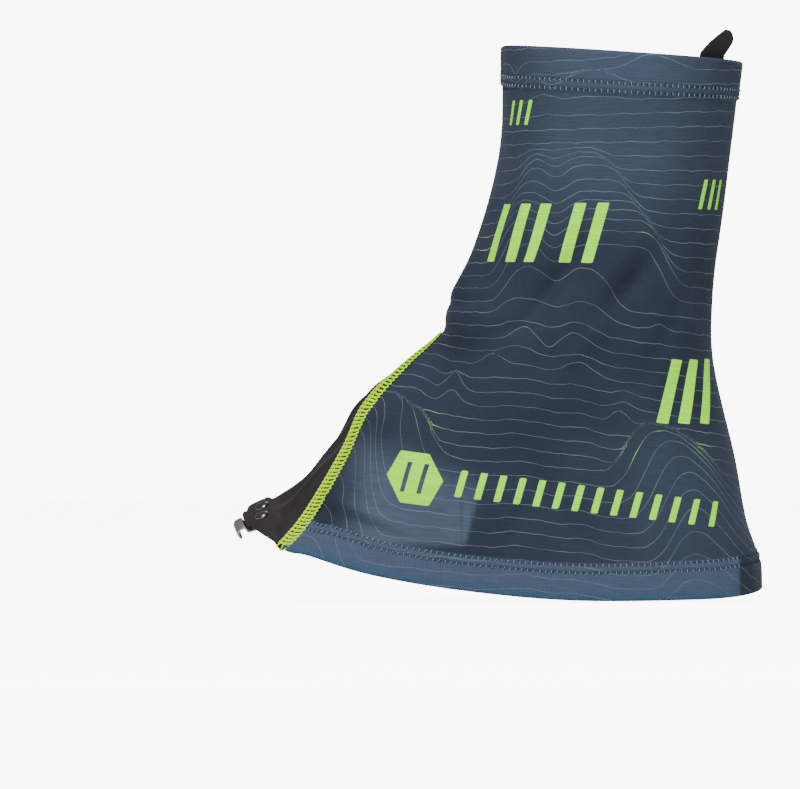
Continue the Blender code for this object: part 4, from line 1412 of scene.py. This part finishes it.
def hook_line():
    """The hook's middle line as (along, up): under the tongue, round its tip and back."""
    line = [(a, HOOK_LEVEL) for a in np.linspace(HOOK_START, HOOK_JOG, 14)]
    for t in np.linspace(0, 1, 13)[1:]:
        ease = t * t * (3 - 2 * t)
        line.append((HOOK_JOG + (HOOK_STEP - HOOK_JOG) * t, HOOK_LEVEL + HOOK_RISE * ease))
    line.append(((HOOK_STEP + HOOK_TIP) / 2, HOOK_LEVEL + HOOK_RISE))
    for a in np.linspace(0, HOOK_ARC, 25):
        drop = HOOK_RADIUS * (1 - math.cos(a))
        line.append((HOOK_TIP + HOOK_RADIUS * math.sin(a), HOOK_LEVEL + HOOK_RISE - drop))
    return np.array(line)


def make_hook(material):
    line = hook_line()
    tangents = unit(np.gradient(line, axis=0))
    length = run_length(line)
    rings = []
    for (along, up), (run, rise), here in zip(line, tangents, length):
        narrow = smooth_step(along, HOOK_WAIST, HOOK_TIP)
        half = HOOK_HALF_WIDTH + (HOOK_NARROW - HOOK_HALF_WIDTH) * narrow
        past = min(HOOK_CORNER, max(0.0, here - (length[-1] - HOOK_CORNER)))
        half += math.sqrt(HOOK_CORNER**2 - past**2) - HOOK_CORNER
        across, thick = plate_section(half, HOOK_THICKNESS / 2, 40, 0.22)
        across = across + HOOK_ACROSS
        rings.append(tongue_points(along - rise * thick, across, up + run * thick))
    made = loft("bent_hook", rings, material)
    register(made, "steel", "tongue", "lace_hook")


def turned(name, node, profile, spot, material, sides=48):
    """A solid turned about a rivet's axis from (radius, height) pairs."""
    turns = circle(sides)
    rings = []
    for radius, height in profile:
        radius = max(radius, 1e-5)
        along = spot[0] + radius * np.cos(turns)
        across = spot[1] + radius * np.sin(turns)
        rings.append(tongue_points(along, across, height + 0 * turns))
    register(loft(name, rings, material), "dark_steel", "tongue", node)


def make_rivets(material):
    radius, seat, rise = RIVET_DOME
    dome = [
        (radius * math.cos(a), seat + rise * math.sin(a)) for a in np.linspace(0, np.pi / 2, 16)
    ]
    for word, spot in RIVETS.items():
        turned(f"{word}_cap", f"{word}_rivet_cap", (*RIVET_CAP, *dome), spot, material)
        turned(f"{word}_head", f"{word}_rivet_head", RIVET_HEAD, spot, material)


# ---- the light, floor and camera

CAMERA_LENS = 600.0
SENSOR_WIDTH = 36.0
FRAME_WIDTH = 0.320
CAMERA_AIM = (-0.0960, 0.0, 0.0818)
# The light that the sky gives, and how bright the backdrop and the floor look.
SKY_LIGHT = 0.33
BACKDROP_WHITE = 9.0
FLOOR_WHITE = 8.0


def make_camera():
    data = bpy.data.cameras.new("camera")
    data.lens = CAMERA_LENS
    data.sensor_width = SENSOR_WIDTH
    data.clip_end = 100.0
    camera = linked("camera", data)
    x, y, z = CAMERA_AIM
    camera.location = (x, y - FRAME_WIDTH * CAMERA_LENS / SENSOR_WIDTH, z)
    camera.rotation_euler = (math.pi / 2, 0, 0)
    bpy.context.scene.camera = camera


def area_light(name, place, aim, size, power):
    data = bpy.data.lights.new(name, "AREA")
    data.shape = "RECTANGLE"
    data.size, data.size_y = size
    data.energy = power
    light = linked(name, data)
    light.location = place
    light.rotation_euler = (Vector(aim) - Vector(place)).to_track_quat("-Z", "Y").to_euler()


def make_studio():
    floor = new_object(
        "floor", [(-4, -9, 0), (4, -9, 0), (4, 5, 0), (-4, 5, 0)], [(0, 1, 2, 3)], floor_material()
    )
    floor.location.z = -0.0008
    world = bpy.data.worlds.new("studio")
    world.use_nodes = True
    background = world.node_tree.nodes["Background"]
    background.inputs["Color"].default_value = (1, 1, 1, 1)
    seen = world.node_tree.nodes.new("ShaderNodeLightPath").outputs["Is Camera Ray"]
    strength = world.node_tree.nodes.new("ShaderNodeMapRange")
    strength.inputs["To Min"].default_value = SKY_LIGHT
    strength.inputs["To Max"].default_value = BACKDROP_WHITE
    world.node_tree.links.new(seen, strength.inputs["Value"])
    world.node_tree.links.new(strength.outputs["Result"], background.inputs["Strength"])
    bpy.context.scene.world = world
    aim = (-0.03, 0.0, 0.10)
    area_light("key", (-0.20, -1.10, 1.75), aim, (0.5, 0.5), 60.0)
    area_light("fill", (0.1, -1.5, 0.35), aim, (1.0, 1.0), 6.0)
    area_light("back", (0.3, 1.2, 1.2), aim, (0.8, 0.8), 4.0)


def floor_material():
    s = Shader("floor")
    seen = s.node("LightPath", {}, "Is Camera Ray")
    return s.finish(
        Base_Color=(0.92, 0.92, 0.92, 1),
        Roughness=0.9,
        Emission_Color=(1, 1, 1, 1),
        Emission_Strength=s.times(seen, FLOOR_WHITE),
    )


def main():
    make_camera()
    make_studio()
    printed, plain, coated = printed_fabric(), fabric_back(), coated_fabric()
    cloth = make_cloth(printed, plain)
    panel = make_panel(coated)
    lime = thread("lime_thread", srgb(156, 204, 0), THREAD_LIME)
    sewn_on = [
        make_flatlock("flatlock_outer", 1, lime, "outer_flatlock_seam"),
        make_flatlock("flatlock_inner", -1, lime, "inner_flatlock_seam"),
    ]
    navy = thread("navy_thread", srgb(76, 92, 116), srgb(120, 136, 158))
    sewn_on += make_rows(navy)
    sewn_on += make_back_seam(plain, navy)
    elastic = make_elastic(webbing("elastic_band", srgb(22, 22, 26), srgb(40, 40, 46), 300.0))
    patch = make_heel_patch(loop_pile())
    black = webbing("webbing", srgb(20, 16, 17), srgb(34, 29, 31), 420.0)
    make_pull_tab(black, thread("dark_thread", srgb(26, 32, 44), srgb(44, 54, 70)))
    make_backing(black)
    make_hook(metal("steel", srgb(168, 165, 162), 0.38, 0.2))
    make_rivets(metal("dark_steel", srgb(104, 101, 100), 0.22, 0.15))


main()
